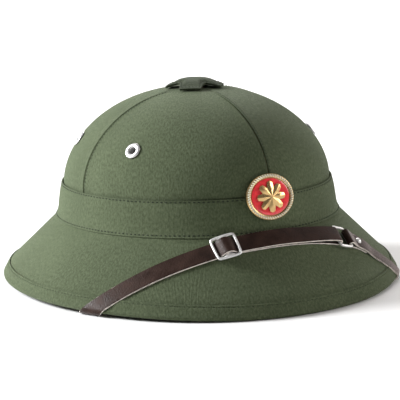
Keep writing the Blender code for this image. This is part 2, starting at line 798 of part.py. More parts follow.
SLIDE_PITCH = (SLIDE_LENGTH - WIRE) / 2
RING_PITCH = RING_LENGTH - WIRE
SLIDE_LEFT = LOW + STRAP / 2 + GAP + WIRE / 2
SLIDE_RIGHT = SLIDE_LEFT + STRAP + GAP
SLIDE_MIDDLE = (SLIDE_LEFT + SLIDE_RIGHT) / 2
LOOP_RADIUS = WIRE / 2 + GAP + LOOP_LEATHER / 2
CREST = SLIDE_MIDDLE + LOOP_RADIUS + LOOP_LEATHER / 2 + GAP + STRAP / 2
RING_HEIGHT = LOW + FOLD_RADIUS
RING_TAKE_UP = FOLD_RADIUS - STRAP / 2 - GAP - WIRE / 2


def upper_height(along):
    """Height of the main strap's upper layer between the brim and the ring."""
    doubled = STRAP + GAP
    height = LOW + doubled * ramp(along, SLIDE_PLACE - SLIDE_PITCH, SLIDE_PLACE + SLIDE_PITCH)
    height += (LAYER_RISE - LOW - doubled) * ramp(along, SLIDE_PLACE + SLIDE_PITCH, 0)
    height += (LOW + 2 * FOLD_RADIUS - LAYER_RISE) * ramp(along, RING_PLACE / 3, RING_PLACE - RING_TAKE_UP)
    offset = (along - SLIDE_PLACE) / SLIDE_PITCH
    if abs(offset) < 1:
        saddle = LOW + doubled / 2
        height += (CREST - saddle) * (0.5 + 0.5 * math.cos(math.pi * offset))
    return height


def main_strap_path():
    """From the wearer's right, over the slide's middle bar, round the ring and back under to the slide."""
    path = []
    steps = 9
    rim = RIM_CROSSING[-1][0]
    left = SLIDE_PLACE - SLIDE_PITCH
    for step in range(1, steps):
        along = rim + (left - rim) * step / steps
        path.append((along, upper_height(along), STRAP))
    steps = 12
    for step in range(steps):
        along = left + 2 * SLIDE_PITCH * step / steps
        path.append((along, upper_height(along), STRAP))
    fold = RING_PLACE - RING_TAKE_UP
    right = SLIDE_PLACE + SLIDE_PITCH
    steps = 9
    for step in range(steps):
        along = right + (fold - right) * step / steps
        path.append((along, upper_height(along), STRAP))
    steps = 6
    for step in range(steps + 1):
        turn = math.pi / 2 - math.pi * step / steps
        path.append((fold + FOLD_RADIUS * math.cos(turn), RING_HEIGHT + FOLD_RADIUS * math.sin(turn), STRAP))
    thin_start = SLIDE_PLACE + 1.1 * SLIDE_PITCH
    steps = 8
    for step in range(1, steps + 1):
        path.append((fold + (thin_start - fold) * step / steps, LOW, STRAP))
    steps = 3
    for step in range(1, steps):
        share = step / steps
        along = thin_start + (SLIDE_PLACE - thin_start) * share
        height = LOW + (SLIDE_MIDDLE - LOOP_RADIUS - LOW) * smooth(share)
        path.append((along, height, STRAP + (LOOP_LEATHER - STRAP) * share))
    steps = 7
    for step in range(steps + 1):
        turn = -math.pi / 2 - math.radians(200) * step / steps
        path.append((SLIDE_PLACE + LOOP_RADIUS * math.cos(turn), SLIDE_MIDDLE + LOOP_RADIUS * math.sin(turn),
                     LOOP_LEATHER))
    return path


def short_strap_path():
    """From the end of its returned layer, round the ring's far bar, under the stud and out to the rim."""
    fold = RING_PLACE + RING_PITCH + RING_TAKE_UP
    doubled = LOW + STRAP + GAP
    path = []
    steps = 4
    for step in range(steps):
        path.append((SHORT_STRAP_RETURN + (fold - SHORT_STRAP_RETURN) * step / steps, LOW, STRAP))
    steps = 6
    for step in range(steps + 1):
        turn = -math.pi / 2 - math.pi * step / steps
        path.append((fold + FOLD_RADIUS * math.cos(turn), RING_HEIGHT + FOLD_RADIUS * math.sin(turn), STRAP))
    top = LOW + 2 * FOLD_RADIUS
    steps = 12
    for step in range(1, steps):
        along = fold + (RIM_CROSSING[1][0] - fold) * step / steps
        height = top + (doubled - top) * ramp(along, fold, STUD_PLACE - STUD_HEAD * 0.6)
        height += (LOW - doubled) * ramp(along, SHORT_STRAP_RETURN, SHORT_STRAP_RETURN + STRAP_WIDTH / 2)
        path.append((along, height, STRAP))
    return path


def strap_place(along, height):
    """Axes on the strap's middle line, with +Z away from the brim."""
    point = on_brim(along, 0, height)
    return placed(point, on_brim(along, 0, height + STRAP) - point, Vector((0, 0, 1)))


def anchor_place(side):
    """Axes at the strap's inner end, with +Z into the helmet."""
    distance = STRAP_END_CLIMB - ANCHOR_INSET
    point = under_brim(distance, 0, STRAP / 2, side)
    return placed(point, point - under_brim(distance, 0, -STRAP / 2, side), Vector((0, 0, 1)))


def add_straps(helmet, shell):
    """The two leather straps, and the studs and anchors that hold them."""
    main = strap_mesh("chin_strap", hidden_rows(-1) + path_rows(main_strap_path()))
    main = add_object("chin_strap", main, "leather", helmet)
    short = strap_mesh("short_strap", path_rows(short_strap_path()) + hidden_rows(1)[::-1])
    short = add_object("short_strap", short, "leather", helmet)

    top = LOW + STRAP + GAP + STRAP / 2
    stud = strap_place(STUD_PLACE, top)
    pin = STUD_PIN / 2
    head = STUD_HEAD / 2
    foot = -(top - GAP - GAP / 2)
    profile = [(0, foot), (pin, foot), (pin, GAP), (head, GAP), (head * 0.8, GAP + STUD_RISE * 0.6),
               (head * 0.45, GAP + STUD_RISE * 0.93), (0, GAP + STUD_RISE)]
    add_object("strap_stud", turned_mesh("strap_stud", profile, ROUND_SIDES), "metal", helmet, stud)
    combine(short, "stud", [rod_guide("cut_stud", helmet, stud, pin + GAP, -2 * top, 2 * top)], "DIFFERENCE")

    for side, name, strap in ((1, "left", short), (-1, "right", main)):
        place = anchor_place(side)
        pin = ANCHOR_PIN / 2
        head = ANCHOR_HEAD / 2
        depth = -(STRAP + INNER_GAP + SHELL * 0.6)
        profile = [(0, depth), (pin, depth), (pin, GAP), (head, GAP), (head, GAP + ANCHOR_THICKNESS / 2),
                   (head * 0.7, GAP + ANCHOR_THICKNESS), (0, GAP + ANCHOR_THICKNESS)]
        mesh = turned_mesh(f"strap_anchor_{name}", profile, ROUND_SIDES)
        add_object(f"strap_anchor_{name}", mesh, "metal", helmet, place)
        reach = 2 * (STRAP + SHELL_INSIDE)
        guide = rod_guide(f"cut_anchor_{name}", helmet, place, pin + GAP, -reach, reach)
        combine(strap, "anchor", [guide], "DIFFERENCE")
        combine(shell, f"anchor_{name}", [guide], "DIFFERENCE")


def wire_mesh(name, centres, normals, closed):
    """Round wire along a line of points, with filled ends or as a closed loop."""
    count = len(centres)
    points = []
    for index, centre in enumerate(centres):
        before = centres[index - 1] if closed or index else centre
        after = centres[(index + 1) % count] if closed or index < count - 1 else centre
        tangent = (after - before).normalized()
        across = tangent.cross(normals[index]).normalized()
        upward = across.cross(tangent)
        widen = 1.0
        if closed:
            turned = (centre - before).normalized().dot((after - centre).normalized())
            widen = 1 / math.sqrt((1 + turned) / 2)
        for side in range(WIRE_SIDES):
            turn = math.tau * (side + 0.5) / WIRE_SIDES
            points.append(centre + (across * math.cos(turn) * widen + upward * math.sin(turn)) * WIRE / 2)
    faces = grid_faces(count, WIRE_SIDES, True, False)
    if closed:
        last = (count - 1) * WIRE_SIDES
        for side in range(WIRE_SIDES):
            following = (side + 1) % WIRE_SIDES
            faces.append([last + side, last + following, following, side])
    else:
        faces.append(list(range(WIRE_SIDES))[::-1])
        faces.append([(count - 1) * WIRE_SIDES + side for side in range(WIRE_SIDES)])
    mesh = bpy.data.meshes.new(name)
    mesh.from_pydata(points, [], faces)
    shape = bmesh.new()
    shape.from_mesh(mesh)
    bmesh.ops.recalc_face_normals(shape, faces=shape.faces)
    shape.to_mesh(mesh)
    shape.free()
    return mesh


def frame_loop(start, end, low, high):
    """Centre line of a rectangular wire frame that lies over the strap from start to end."""
    half = STRAP_WIDTH / 2 + WIRE_ROOM + WIRE / 2
    corner = WIRE
    outline = []
    for along, across, turn_from in ((end, half, 0), (start, half, 1), (start, -half, 2), (end, -half, 3)):
        inward_along = -1 if along == end else 1
        inward_across = -1 if across > 0 else 1
        for step in range(3):
            turn = math.pi / 2 * (turn_from + step / 2)
            outline.append((along + corner * (inward_along + math.cos(turn)),
                            across + corner * (inward_across + math.sin(turn))))
    centres = []
    normals = []
    for along, across in outline:
        share = (along - start) / (end - start)
        height = low + (high - low) * share
        point = on_brim(along, across, height)
        centres.append(point)
        normals.append((on_brim(along, across, height + WIRE) - point).normalized())
    return centres, normals


def add_buckles(helmet):
    """The three bar slide and the plain ring, both of round wire."""
    left = SLIDE_PLACE - SLIDE_PITCH
    right = SLIDE_PLACE + SLIDE_PITCH
    centres, normals = frame_loop(left, right, SLIDE_LEFT, SLIDE_RIGHT)
    slide = add_object("strap_slide", wire_mesh("strap_slide", centres, normals, True), "metal", helmet)
    half = STRAP_WIDTH / 2 + WIRE_ROOM + WIRE / 2
    ends = [on_brim(SLIDE_PLACE, across, SLIDE_MIDDLE) for across in (-half, half)]
    upward = (on_brim(SLIDE_PLACE, 0, WIRE) - on_brim(SLIDE_PLACE, 0, 0)).normalized()
    bar = add_object("join_slide_bar", wire_mesh("join_slide_bar", ends, [upward, upward], False), None, helmet)
    combine(slide, "bar", [bar], "UNION")
    centres, normals = frame_loop(RING_PLACE, RING_PLACE + RING_PITCH, RING_HEIGHT, RING_HEIGHT)
    add_object("strap_ring", wire_mesh("strap_ring", centres, normals, True), "metal", helmet)


def main():
    for thing in list(bpy.data.objects):
        bpy.data.objects.remove(thing, do_unlink=True)
    helmet = bpy.data.objects.new("pith_helmet", None)
    bpy.context.scene.collection.objects.link(helmet)
    shell = add_shell(helmet)
    panels = add_crown_panels(helmet)
    add_band(helmet)
    add_brim_cover(helmet)
    add_brim_hem(helmet)
    hole = add_eyelets(helmet)
    cut_vent_holes(helmet, shell, panels, hole)
    add_vent_cap(helmet)
    add_badge(helmet)
    add_straps(helmet, shell)
    add_buckles(helmet)


main()
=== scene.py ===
"""Dresses the pith helmet: seamed and stitched cloth, leather straps, badge, eyelets and a plain studio."""

import math

import bpy
from mathutils import Matrix, Vector


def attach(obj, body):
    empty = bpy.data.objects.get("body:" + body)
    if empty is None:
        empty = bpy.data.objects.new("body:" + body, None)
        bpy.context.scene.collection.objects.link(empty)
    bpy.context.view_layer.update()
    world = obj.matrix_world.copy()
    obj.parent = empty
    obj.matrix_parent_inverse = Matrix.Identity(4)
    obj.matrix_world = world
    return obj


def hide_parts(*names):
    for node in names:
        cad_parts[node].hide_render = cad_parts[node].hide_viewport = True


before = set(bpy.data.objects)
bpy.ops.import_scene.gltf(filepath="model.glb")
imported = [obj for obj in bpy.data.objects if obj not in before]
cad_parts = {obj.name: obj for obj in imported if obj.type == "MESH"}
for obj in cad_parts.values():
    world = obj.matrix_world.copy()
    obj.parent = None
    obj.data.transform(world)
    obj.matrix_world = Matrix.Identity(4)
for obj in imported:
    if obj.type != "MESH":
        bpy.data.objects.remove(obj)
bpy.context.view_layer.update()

bl_info = {
    "name": "Pith helmet",
    "version": (1, 0, 0),
    "blender": (4, 5, 0),
    "location": "View3D > Sidebar > Helmet",
    "description": "Cloth, leather, metal and studio for a pith helmet",
    "category": "Object",
}

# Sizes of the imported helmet, in metres
BRIM_LENGTH = 0.325
BRIM_WIDTH = 0.290
CROWN_LENGTH = 0.2176
CROWN_WIDTH = 0.1946
BRIM_HEIGHT = 0.0485
BAND_HEIGHT = 0.0255
CROWN_RISE = 0.069
BAND_FLARE = 0.0062
CROWN_LEAN = 0.003
FRONT_LIFT = 0.0018
SIDE_LIFT = 0.0024
LEVEL_REACH = 0.25
RIM_FLAT_TURN = math.radians(28)
HEM_SLOPE = math.radians(53)
HEM_LENGTH = 0.0085
CROWN_FULLNESS = (1.81, 2.16)
CLOTH = 0.0010
SHELL = 0.0016
GAP = 0.0003
RIM_RADIUS = CLOTH + GAP + SHELL / 2
RIM_CENTRE_HEIGHT = RIM_RADIUS * math.cos(RIM_FLAT_TURN)
CROWN_BASE = BRIM_HEIGHT + BAND_HEIGHT
EYELET_ANGLE = math.radians(64)
EYELET_RISE = 0.475
VENT_HOLE = 0.018
CAP_REACH = 0.0212
CAP_TURN = math.radians(50)
CAP_ARM_WIDTH = 0.0160
CAP_RISE = 0.0062
CAP_WALL = 0.0015
FRONT_SEAM_TURN = math.radians(2)
RIGHT_SEAM_TURN = math.radians(2.3)
BADGE_WIDTH = 0.0380
BADGE_TALL = 0.0329
BADGE_SIDE = -0.0045
BADGE_TILT = math.radians(11)
BADGE_RIM = 0.0030
BADGE_THICKNESS = 0.0021
BADGE_FLOOR = 0.0014

# The crown's quarters, in the order of their angles
QUARTERS = ("front_left", "back_left", "back_right", "front_right")

# Sizes of the sewn and pressed details, in metres or as shares of a height
DRILL_RADIUS = 0.0041
DRILL_LENGTH = 0.02
SLOPE_STEP = 0.01
EYELET_ROLL = 0.00095
EYELET_WALL = 0.0007
EYELET_LIP = 0.0008
EYELET_SEAT = 0.00015
BAND_STITCH_SHARE = 0.05
BAND_BULGE = 0.0011
BAND_GROOVE = 0.0003
HEM_STITCH_SHARE = 0.81
HEM_RAISE = 0.0009
HEM_TUCK = 0.0002
HEM_GROOVE = 0.00035
CAP_STITCH_SHARE = 0.91
CAP_HEM_RAISE = 0.0004
CAP_FLAP_ROOT = 0.0015
CAP_FLAP_CORNER = 0.0006
CAP_FLAP_FLARE = 0.0001
CAP_DOME = 0.0006
SEAM_STITCH_ASIDE = 0.0019
SEAM_STITCH_RAISE = 0.00042
CLOTH_ROUNDING = 0.0003
COVER_ROUNDING = 0.0002
STRAP_EDGE_LIMIT = 0.0018
STRAP_EDGE_ROUNDING = 0.0007
WIRE_SWELL = 0.0002
REED_LENGTH = 0.0027
REED_WIDTH = 0.0013
REED_HEIGHT = 0.0020
REED_INSET = 0.0014
REED_SLANT = math.radians(32)
POLE_RADIUS = 0.00005
POLE_MERGE = 0.00008
RING_MERGE = 0.000001

# Steps round the helmet and from the band to the top, and the angle that a panel's edge may stray by
SIDES = 192
SHELL_STEPS = 28
PANEL_STEPS = 34
QUARTER_SPARE = 0.004

# Each kind of stitch: its shares of the pitch, the length and the thickness
BAND_STITCH = (1.0, 1.0, 1.0)
HEM_STITCH = (1.0, 0.8, 0.5)
CROWN_STITCH = (0.75, 0.65, 0.6)
CAP_STITCH = (0.75, 0.65, 0.5)
STITCH_SPREAD = 1.3

# Lip of a panel along its seam: distance from the seam's middle (the first is half the gap) and lift
SEAM_LIPS = ((None, -0.0002), (0.0010, 0.00045), (0.0027, 0.0003), (0.0042, 0.00005))

# The camera that was fitted to the photo, and the photo's width and its scale at the helmet
VIEW_TURN = math.radians(-30.30)
VIEW_RISE = math.radians(10.89)
VIEW_ROLL = math.radians(-1.88)
VIEW_DISTANCE = 1.4742
VIEW_SHIFT_ACROSS = 0.0032
VIEW_SHIFT_UP = -0.0142
VIEW_AIM_HEIGHT = 0.07
SENSOR_WIDTH_MM = 36
PHOTO_WIDTH_PX = 400
PHOTO_PX_PER_METRE = 1319.74

# Name, place, diameter, power and tint of each lamp
LAMPS = (
    ("left", (-1.83, 1.45, 1.21), 1.1, 150, (0.98, 0.99, 1.0)),
    ("right", (2.11, -1.23, 0.96), 1.2, 33, (1.0, 0.94, 0.91)),
    ("back", (1.07, 1.84, 1.56), 1.4, 36, (1.0, 0.97, 0.95)),
    ("back_right", (1.8, 1.6, 1.4), 1.4, 15, (1.0, 1.0, 1.0)),
    ("top", (-0.23, -0.39, 2.63), 1.2, 3, (1.0, 1.0, 1.0)),
)
LAMP_AIM = Vector((0, 0, 0.06))
ROOM_LIGHT = 0.13


class HelmetSizes(bpy.types.PropertyGroup):
    """Sizes of the sewn and pressed details."""

    seam_gap: bpy.props.FloatProperty(
        name="Seam gap", description="Width of the gap between two panels",
        default=0.0004, min=0.0002, max=0.002, unit="LENGTH")
    stitch_pitch: bpy.props.FloatProperty(
        name="Stitch pitch", description="Distance from one stitch to the next",
        default=0.0034, min=0.001, max=0.006, unit="LENGTH")
    stitch_length: bpy.props.FloatProperty(
        name="Stitch length", description="Length of one stitch",
        default=0.0022, min=0.0005, max=0.005, unit="LENGTH")
    stitch_width: bpy.props.FloatProperty(
        name="Stitch width", description="Thickness of the thread",
        default=0.0008, min=0.0002, max=0.001, unit="LENGTH")
    eyelet_flange: bpy.props.FloatProperty(
        name="Eyelet flange", description="Outer diameter of an eyelet",
        default=0.0121, min=0.008, max=0.015, unit="LENGTH")
    eyelet_hole: bpy.props.FloatProperty(
        name="Eyelet hole", description="Diameter of the hole in an eyelet",
        default=0.0056, min=0.003, max=0.008, unit="LENGTH")
    rib_pitch: bpy.props.FloatProperty(
        name="Rib pitch", description="Distance between the cloth's ribs",
        default=0.0009, min=0.0003, max=0.003, unit="LENGTH")
    reeds: bpy.props.IntProperty(
        name="Reeds", description="Number of slanted reeds on the badge's rim", default=56, min=24, max=90)


class HelmetColours(bpy.types.PropertyGroup):
    """Colours of the helmet's finishes and of the studio."""

    cloth: bpy.props.FloatVectorProperty(
        name="Cloth", description="Colour of the cloth",
        subtype="COLOR", size=3, default=(0.052, 0.068, 0.032), min=0, max=1)
    cloth_light: bpy.props.FloatVectorProperty(
        name="Worn cloth", description="Colour of the cloth's raised threads",
        subtype="COLOR", size=3, default=(0.126, 0.156, 0.084), min=0, max=1)
    # Thread: set near black as painted shade, so that each stitch reads as the shade where it sinks into
    # the cloth.
    painted_shade_thread: bpy.props.FloatVectorProperty(
        name="Thread", description="Colour of the sewing thread",
        subtype="COLOR", size=3, default=(0.010, 0.016, 0.006), min=0, max=1)
    leather: bpy.props.FloatVectorProperty(
        name="Leather", description="Colour of the straps' smooth side",
        subtype="COLOR", size=3, default=(0.018, 0.0068, 0.0036), min=0, max=1)
    leather_edge: bpy.props.FloatVectorProperty(
        name="Leather edge", description="Colour of the straps' cut edges",
        subtype="COLOR", size=3, default=(0.97, 0.88, 0.80), min=0, max=1)
    metal: bpy.props.FloatVectorProperty(
        name="Metal", description="Colour of the eyelets, slide, ring and studs",
        subtype="COLOR", size=3, default=(0.97, 0.96, 0.95), min=0, max=1)
    gilt: bpy.props.FloatVectorProperty(
        name="Gilt", description="Colour of the reeds on the badge's rim",
        subtype="COLOR", size=3, default=(1.0, 0.96, 0.76), min=0, max=1)
    # Brass is the rosette's own darker gold; under the light gilt reeds the plate is kept darker as painted
    # shade in the gaps between them.
    brass_and_gap_shade: bpy.props.FloatVectorProperty(
        name="Brass", description="Colour of the badge's plate and rosette",
        subtype="COLOR", size=3, default=(0.74, 0.50, 0.22), min=0, max=1)
    enamel: bpy.props.FloatVectorProperty(
        name="Enamel", description="Colour of the badge's field",
        subtype="COLOR", size=3, default=(1.0, 0.050, 0.060), min=0, max=1)
    board: bpy.props.FloatVectorProperty(
        name="Board", description="Colour of the pressed shell",
        subtype="COLOR", size=3, default=(0.36, 0.28, 0.17), min=0, max=1)
    floor: bpy.props.FloatVectorProperty(
        name="Floor", description="Colour of the studio floor",
        subtype="COLOR", size=3, default=(0.9, 0.9, 0.9), min=0, max=1)


def sizes():
    return bpy.context.scene.helmet_sizes


def colours():
    return bpy.context.scene.helmet_colours


# Shape of the cloth's outer face, row by row

def smooth(value):
    """Ease from 0 to 1 as value goes from 0 to 1."""
    value = min(1.0, max(0.0, value))
    return value * value * (3 - 2 * value)


def row(half_width, half_length, height, centre=0.0, tilt=0.0, lift=0.0):
    """One oval: tilt raises its front and lowers its back, lift is its share of the sides' rise."""
    return {"half_width": half_width, "half_length": half_length, "height": height,
            "centre": centre, "tilt": tilt, "lift": lift}


def band_row(share):
    """Oval at a share of the band's height, with the flare at its foot."""
    flare = 0.56 * (1 - share) + 0.44 * max(0.0, 1 - share / 0.3) ** 1.6
    reach = flare * BAND_FLARE
    height = BRIM_HEIGHT + share * BAND_HEIGHT
    return row(CROWN_WIDTH / 2 + reach, CROWN_LENGTH / 2 + reach, height, tilt=FRONT_LIFT)


def crown_row(rise):
    """Oval at a share of the crown's rise above the band."""
    reach = (1 - rise ** CROWN_FULLNESS[0]) ** (1 / CROWN_FULLNESS[1])
    return row(reach * CROWN_WIDTH / 2, reach * CROWN_LENGTH / 2, CROWN_BASE + rise * CROWN_RISE,
               -CROWN_LEAN * rise, FRONT_LIFT * (1 - rise))


def crown_rows(first_share, steps):
    """Ovals from a share of the band's height up to the hole in the top."""
    shares = [0.05, 0.1, 0.17, 0.25, 0.4, 0.6, 0.8]
    rows = [band_row(share) for share in shares if share >= first_share]
    reach = VENT_HOLE / CROWN_WIDTH
    last = (1 - reach ** CROWN_FULLNESS[1]) ** (1 / CROWN_FULLNESS[0])
    end = math.asin(last)
    rows += [crown_row(math.sin(end * step / steps)) for step in range(steps + 1)]
    return rows


def rim_row(turn, radius, back=0.0):
    """Oval round the rim: turn goes from 0 outside to pi inside, back is a distance up the wall."""
    out = math.sin(HEM_SLOPE) * math.cos(turn) + math.cos(HEM_SLOPE) * math.sin(turn)
    up = math.cos(HEM_SLOPE) * math.cos(turn) - math.sin(HEM_SLOPE) * math.sin(turn)
    reach = radius * out - back * math.cos(HEM_SLOPE)
    height = max(0.0, RIM_CENTRE_HEIGHT + radius * up + back * math.sin(HEM_SLOPE))
    return row(BRIM_WIDTH / 2 - RIM_RADIUS + reach, BRIM_LENGTH / 2 - RIM_RADIUS + reach, height, lift=1)


def between(low, high, share):
    """Oval at a share of the way from one oval to another."""
    return {key: low[key] + (high[key] - low[key]) * share for key in low}


def inset(rows, depth):
    """The same rows, moved in under the face by a depth."""
    moved = []
    for index, here in enumerate(rows):
        before = rows[max(index - 1, 0)]
        after = rows[min(index + 1, len(rows) - 1)]
        run = (after["half_width"] - before["half_width"]
               + after["half_length"] - before["half_length"]) / 2
        climb = after["height"] - before["height"]
        length = math.hypot(run, climb)
        new = dict(here)
        new["half_width"] -= depth * climb / length
        new["half_length"] -= depth * climb / length
        new["height"] += depth * run / length
        moved.append(new)
    return moved


def mean_radius(here):
    return (here["half_width"] + here["half_length"]) / 2


def on_row(here, angle):
    """Point on an oval; the angle starts at the front and grows towards the wearer's left."""
    side = smooth((abs(math.sin(angle)) - LEVEL_REACH) / (1 - LEVEL_REACH))
    return Vector((here["half_width"] * math.sin(angle),
                   here["centre"] - here["half_length"] * math.cos(angle),
                   here["height"] + here["tilt"] * math.cos(angle) + here["lift"] * SIDE_LIFT * side))


def row_angle(here, point):
    """Angle of a point on an oval."""
    return math.atan2(point.x / here["half_width"], -(point.y - here["centre"]) / here["half_length"])


# Modelling helpers

def deselect():
    if bpy.context.object and bpy.context.object.mode != "OBJECT":
        bpy.ops.object.mode_set(mode="OBJECT")
    bpy.ops.object.select_all(action="DESELECT")


def activate(piece):
    deselect()
    piece.select_set(True)
    bpy.context.view_layer.objects.active = piece


def named(name):
    piece = bpy.context.object
    piece.name = name
    piece.data.name = name
    return piece


def settle(piece):
    """Puts the object at the origin, with its place in its mesh."""
    activate(piece)
    bpy.ops.object.transform_apply(location=True, rotation=True, scale=True)


def open_mesh(piece, kind="VERT"):
    """Opens a piece in edit mode, with all of it selected."""
    activate(piece)
    bpy.ops.object.mode_set(mode="EDIT")
    bpy.ops.mesh.select_mode(type=kind)
    bpy.ops.mesh.select_all(action="SELECT")


def close_mesh():
    bpy.ops.object.mode_set(mode="OBJECT")


def bare_of_maps(mesh):
    """Takes away the UV maps that a primitive brings, so that the cloth's own map is the active one."""
    while mesh.uv_layers:
        mesh.uv_layers.remove(mesh.uv_layers[0])


def apply_modifier(piece, kind, **values):
    activate(piece)
    change = piece.modifiers.new(kind.lower(), kind)
    for key, value in values.items():
        setattr(change, key, value)
    bpy.ops.object.modifier_apply(modifier=change.name)


def smooth_form(piece):
    apply_modifier(piece, "SUBSURF", levels=2, render_levels=2)


def extrude_rings(name, rings, sides):
    """A sheet through (half width, half length, centre y, height) rings, each extruded from the last."""
    deselect()
    half_width, half_length, centre, height = rings[0]
    bpy.ops.mesh.primitive_circle_add(vertices=sides, radius=1, location=(0, centre, height))
    piece = named(name)
    open_mesh(piece)
    bpy.ops.transform.resize(value=(half_width, half_length, 1), center_override=(0, centre, height))
    for before, after in zip(rings, rings[1:]):
        step = (0, after[2] - before[2], after[3] - before[3])
        bpy.ops.mesh.extrude_region_move(TRANSFORM_OT_translate={"value": step})
        bpy.ops.transform.resize(value=(after[0] / before[0], after[1] / before[1], 1),
                                 center_override=(0, after[2], after[3]))
    close_mesh()
    settle(piece)
    return piece


def seam_turn(here, angle):
    """Turn of the crown's cloth at an angle: the front and right seams lean more towards their foot."""
    fade = min(1.0, max(0.0, 1 - (here["height"] - CROWN_BASE) / CROWN_RISE)) ** 2
    front = abs((angle + math.pi) % math.tau - math.pi)
    right = abs((angle + math.pi / 2 + math.pi) % math.tau - math.pi)
    return fade * (RIGHT_SEAM_TURN * smooth(1 - right / (math.pi / 2))
                   - FRONT_SEAM_TURN * smooth(1 - front / (math.pi / 2)))


def seam_lip(here, angle, middle):
    """Draws a panel's edge back from its seam and turns it up in a lip: the new angle and the lift."""
    turn = (angle - middle + math.pi) % math.tau - math.pi
    radius = mean_radius(here)
    step = math.tau / SIDES
    column = round((math.pi / 4 - abs(turn)) / step)
    if not 0 <= column < len(SEAM_LIPS):
        return angle, 0.0
    wanted, lift = SEAM_LIPS[column]
    reach = min(wanted or sizes().seam_gap / 2, (column + 0.4) * step * radius)
    return middle + math.copysign(math.pi / 4 - reach / radius, turn), lift * min(1, radius / 0.05)


def wall_sheet(name, rows, middle=None):
    """The wall through these rows, tilted and lifted as they say, with a UV map in metres of cloth.

    With middle, only the quarter with its middle at that angle is kept, and the threads run straight up it.
    """
    rings = [(here["half_width"], here["half_length"], here["centre"], here["height"]) for here in rows]
    piece = extrude_rings(name, rings, SIDES)
    mesh = piece.data
    angles = []
    trial = 0.001
    outward = inset(rows, -trial)
    for index, vertex in enumerate(mesh.vertices):
        here = rows[index // SIDES]
        angle, lift = row_angle(here, vertex.co), 0.0
        if middle is not None:
            angle, lift = seam_lip(here, angle, middle)
            angle += seam_turn(here, angle)
        angles.append(angle)
        point = on_row(here, angle)
        vertex.co = point + (on_row(outward[index // SIDES], angle) - point) * (lift / trial)
    lengths = [0.0]
    for low, high in zip(rows, rows[1:]):
        step = math.hypot(high["half_width"] - low["half_width"], high["height"] - low["height"])
        lengths.append(lengths[-1] + step)
    radius = sum(mean_radius(here) for here in rows) / len(rows)
    bare_of_maps(mesh)
    layer = mesh.uv_layers.new(name="cloth")
    away = []
    for face in mesh.polygons:
        first = angles[face.vertices[0]]
        widest = 0.0
        for loop in face.loop_indices:
            vertex = mesh.loops[loop].vertex_index
            here = rows[vertex // SIDES]
            angle = angles[vertex]
            angle += math.tau * round((first - angle) / math.tau)
            if middle is None:
                across = radius * angle
            else:
                turn = (angle - seam_turn(here, angle) - middle + math.pi) % math.tau - math.pi
                widest = max(widest, abs(turn))
                across = mean_radius(here) * turn
            layer.data[loop].uv = (across, lengths[vertex // SIDES])
        if widest > math.pi / 4 + QUARTER_SPARE:
            away.append(face.index)
    if away:
        open_mesh(piece, "FACE")
        bpy.ops.mesh.select_all(action="DESELECT")
        close_mesh()
        for index in away:
            mesh.polygons[index].select = True
        bpy.ops.object.mode_set(mode="EDIT")
        bpy.ops.mesh.delete(type="FACE")
        close_mesh()
    return piece


def thicken(piece, thickness, rounding):
    """Gives a sheet its wall, inwards, and rounds the wall's edges."""
    open_mesh(piece)
    bpy.ops.mesh.normals_make_consistent(inside=False)
    close_mesh()
    middle = Vector((0, 0, 0.02))
    if sum(face.normal.dot(face.center - middle) * face.area for face in piece.data.polygons) < 0:
        open_mesh(piece)
        bpy.ops.mesh.flip_normals()
        close_mesh()
    apply_modifier(piece, "SOLIDIFY", thickness=thickness, offset=-1.0, use_even_offset=True)
    if rounding:
        apply_modifier(piece, "BEVEL", width=rounding, segments=2, limit_method="ANGLE",
                       angle_limit=math.radians(50))


def finish(piece, finish_name, *nodes, slot=None, angle=35):
    """Smooth shading, finish, and the CAD nodes that the piece stands for; the slot argument is not used.
    """
    activate(piece)
    bpy.ops.object.shade_smooth_by_angle(angle=math.radians(angle))
    settle(piece)
    if not piece.data.materials:
        piece.data.materials.append(bpy.data.materials[f"helmet_{finish_name}"])
    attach(piece, "root")
    if nodes:
        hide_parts(*nodes)


def node_copy(name, node):
    """A welded copy of a CAD node, in quads."""
    deselect()
    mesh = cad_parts[node].data.copy()
    mesh.materials.clear()
    piece = bpy.data.objects.new(name, mesh)
    bpy.context.scene.collection.objects.link(piece)
    open_mesh(piece)
    bpy.ops.mesh.remove_doubles(threshold=0.00001)
    bpy.ops.mesh.tris_convert_to_quads(face_threshold=math.radians(40), shape_threshold=math.radians(60))
    bpy.ops.mesh.customdata_custom_splitnormals_clear()
    close_mesh()
    return piece


def sharp_edges(piece, degrees):
    """Indices of the edges where two faces meet at more than this angle."""
    mesh = piece.data
    faces = {}
    for face in mesh.polygons:
        for key in face.edge_keys:
            faces.setdefault(key, []).append(face)
    found = set()
    for edge in mesh.edges:
        key = tuple(sorted(edge.vertices))
        beside = faces.get(key, [])
        if len(beside) != 2 or beside[0].normal.angle(beside[1].normal, 0) > math.radians(degrees):
            found.add(edge.index)
    return found


def crease(piece, degrees, amount):
    """Creases the edges that are sharper than an angle, and no others."""
    sharp = sharp_edges(piece, degrees)
    layer = piece.data.attributes.new("crease_edge", "FLOAT", "EDGE")
    for edge in piece.data.edges:
        layer.data[edge.index].value = amount if edge.index in sharp else 0.0


def drill(piece, places):
    """Cuts an eyelet's round hole through a piece along the Z of each place."""
    for place in places:
        deselect()
        bpy.ops.mesh.primitive_cylinder_add(vertices=24, radius=DRILL_RADIUS, depth=DRILL_LENGTH)
        cutter = named("drill")
        cutter.matrix_world = place
        apply_modifier(piece, "BOOLEAN", operation="DIFFERENCE", object=cutter, solver="EXACT")
        bpy.data.objects.remove(cutter)


def bead(name, segments, rings, size):
    """A small ball stretched to a size at the origin, to be copied."""
    deselect()
    bpy.ops.mesh.primitive_uv_sphere_add(segments=segments, ring_count=rings, radius=0.5)
    piece = named(name)
    open_mesh(piece)
    bpy.ops.transform.resize(value=size)
    close_mesh()
    settle(piece)
    return piece


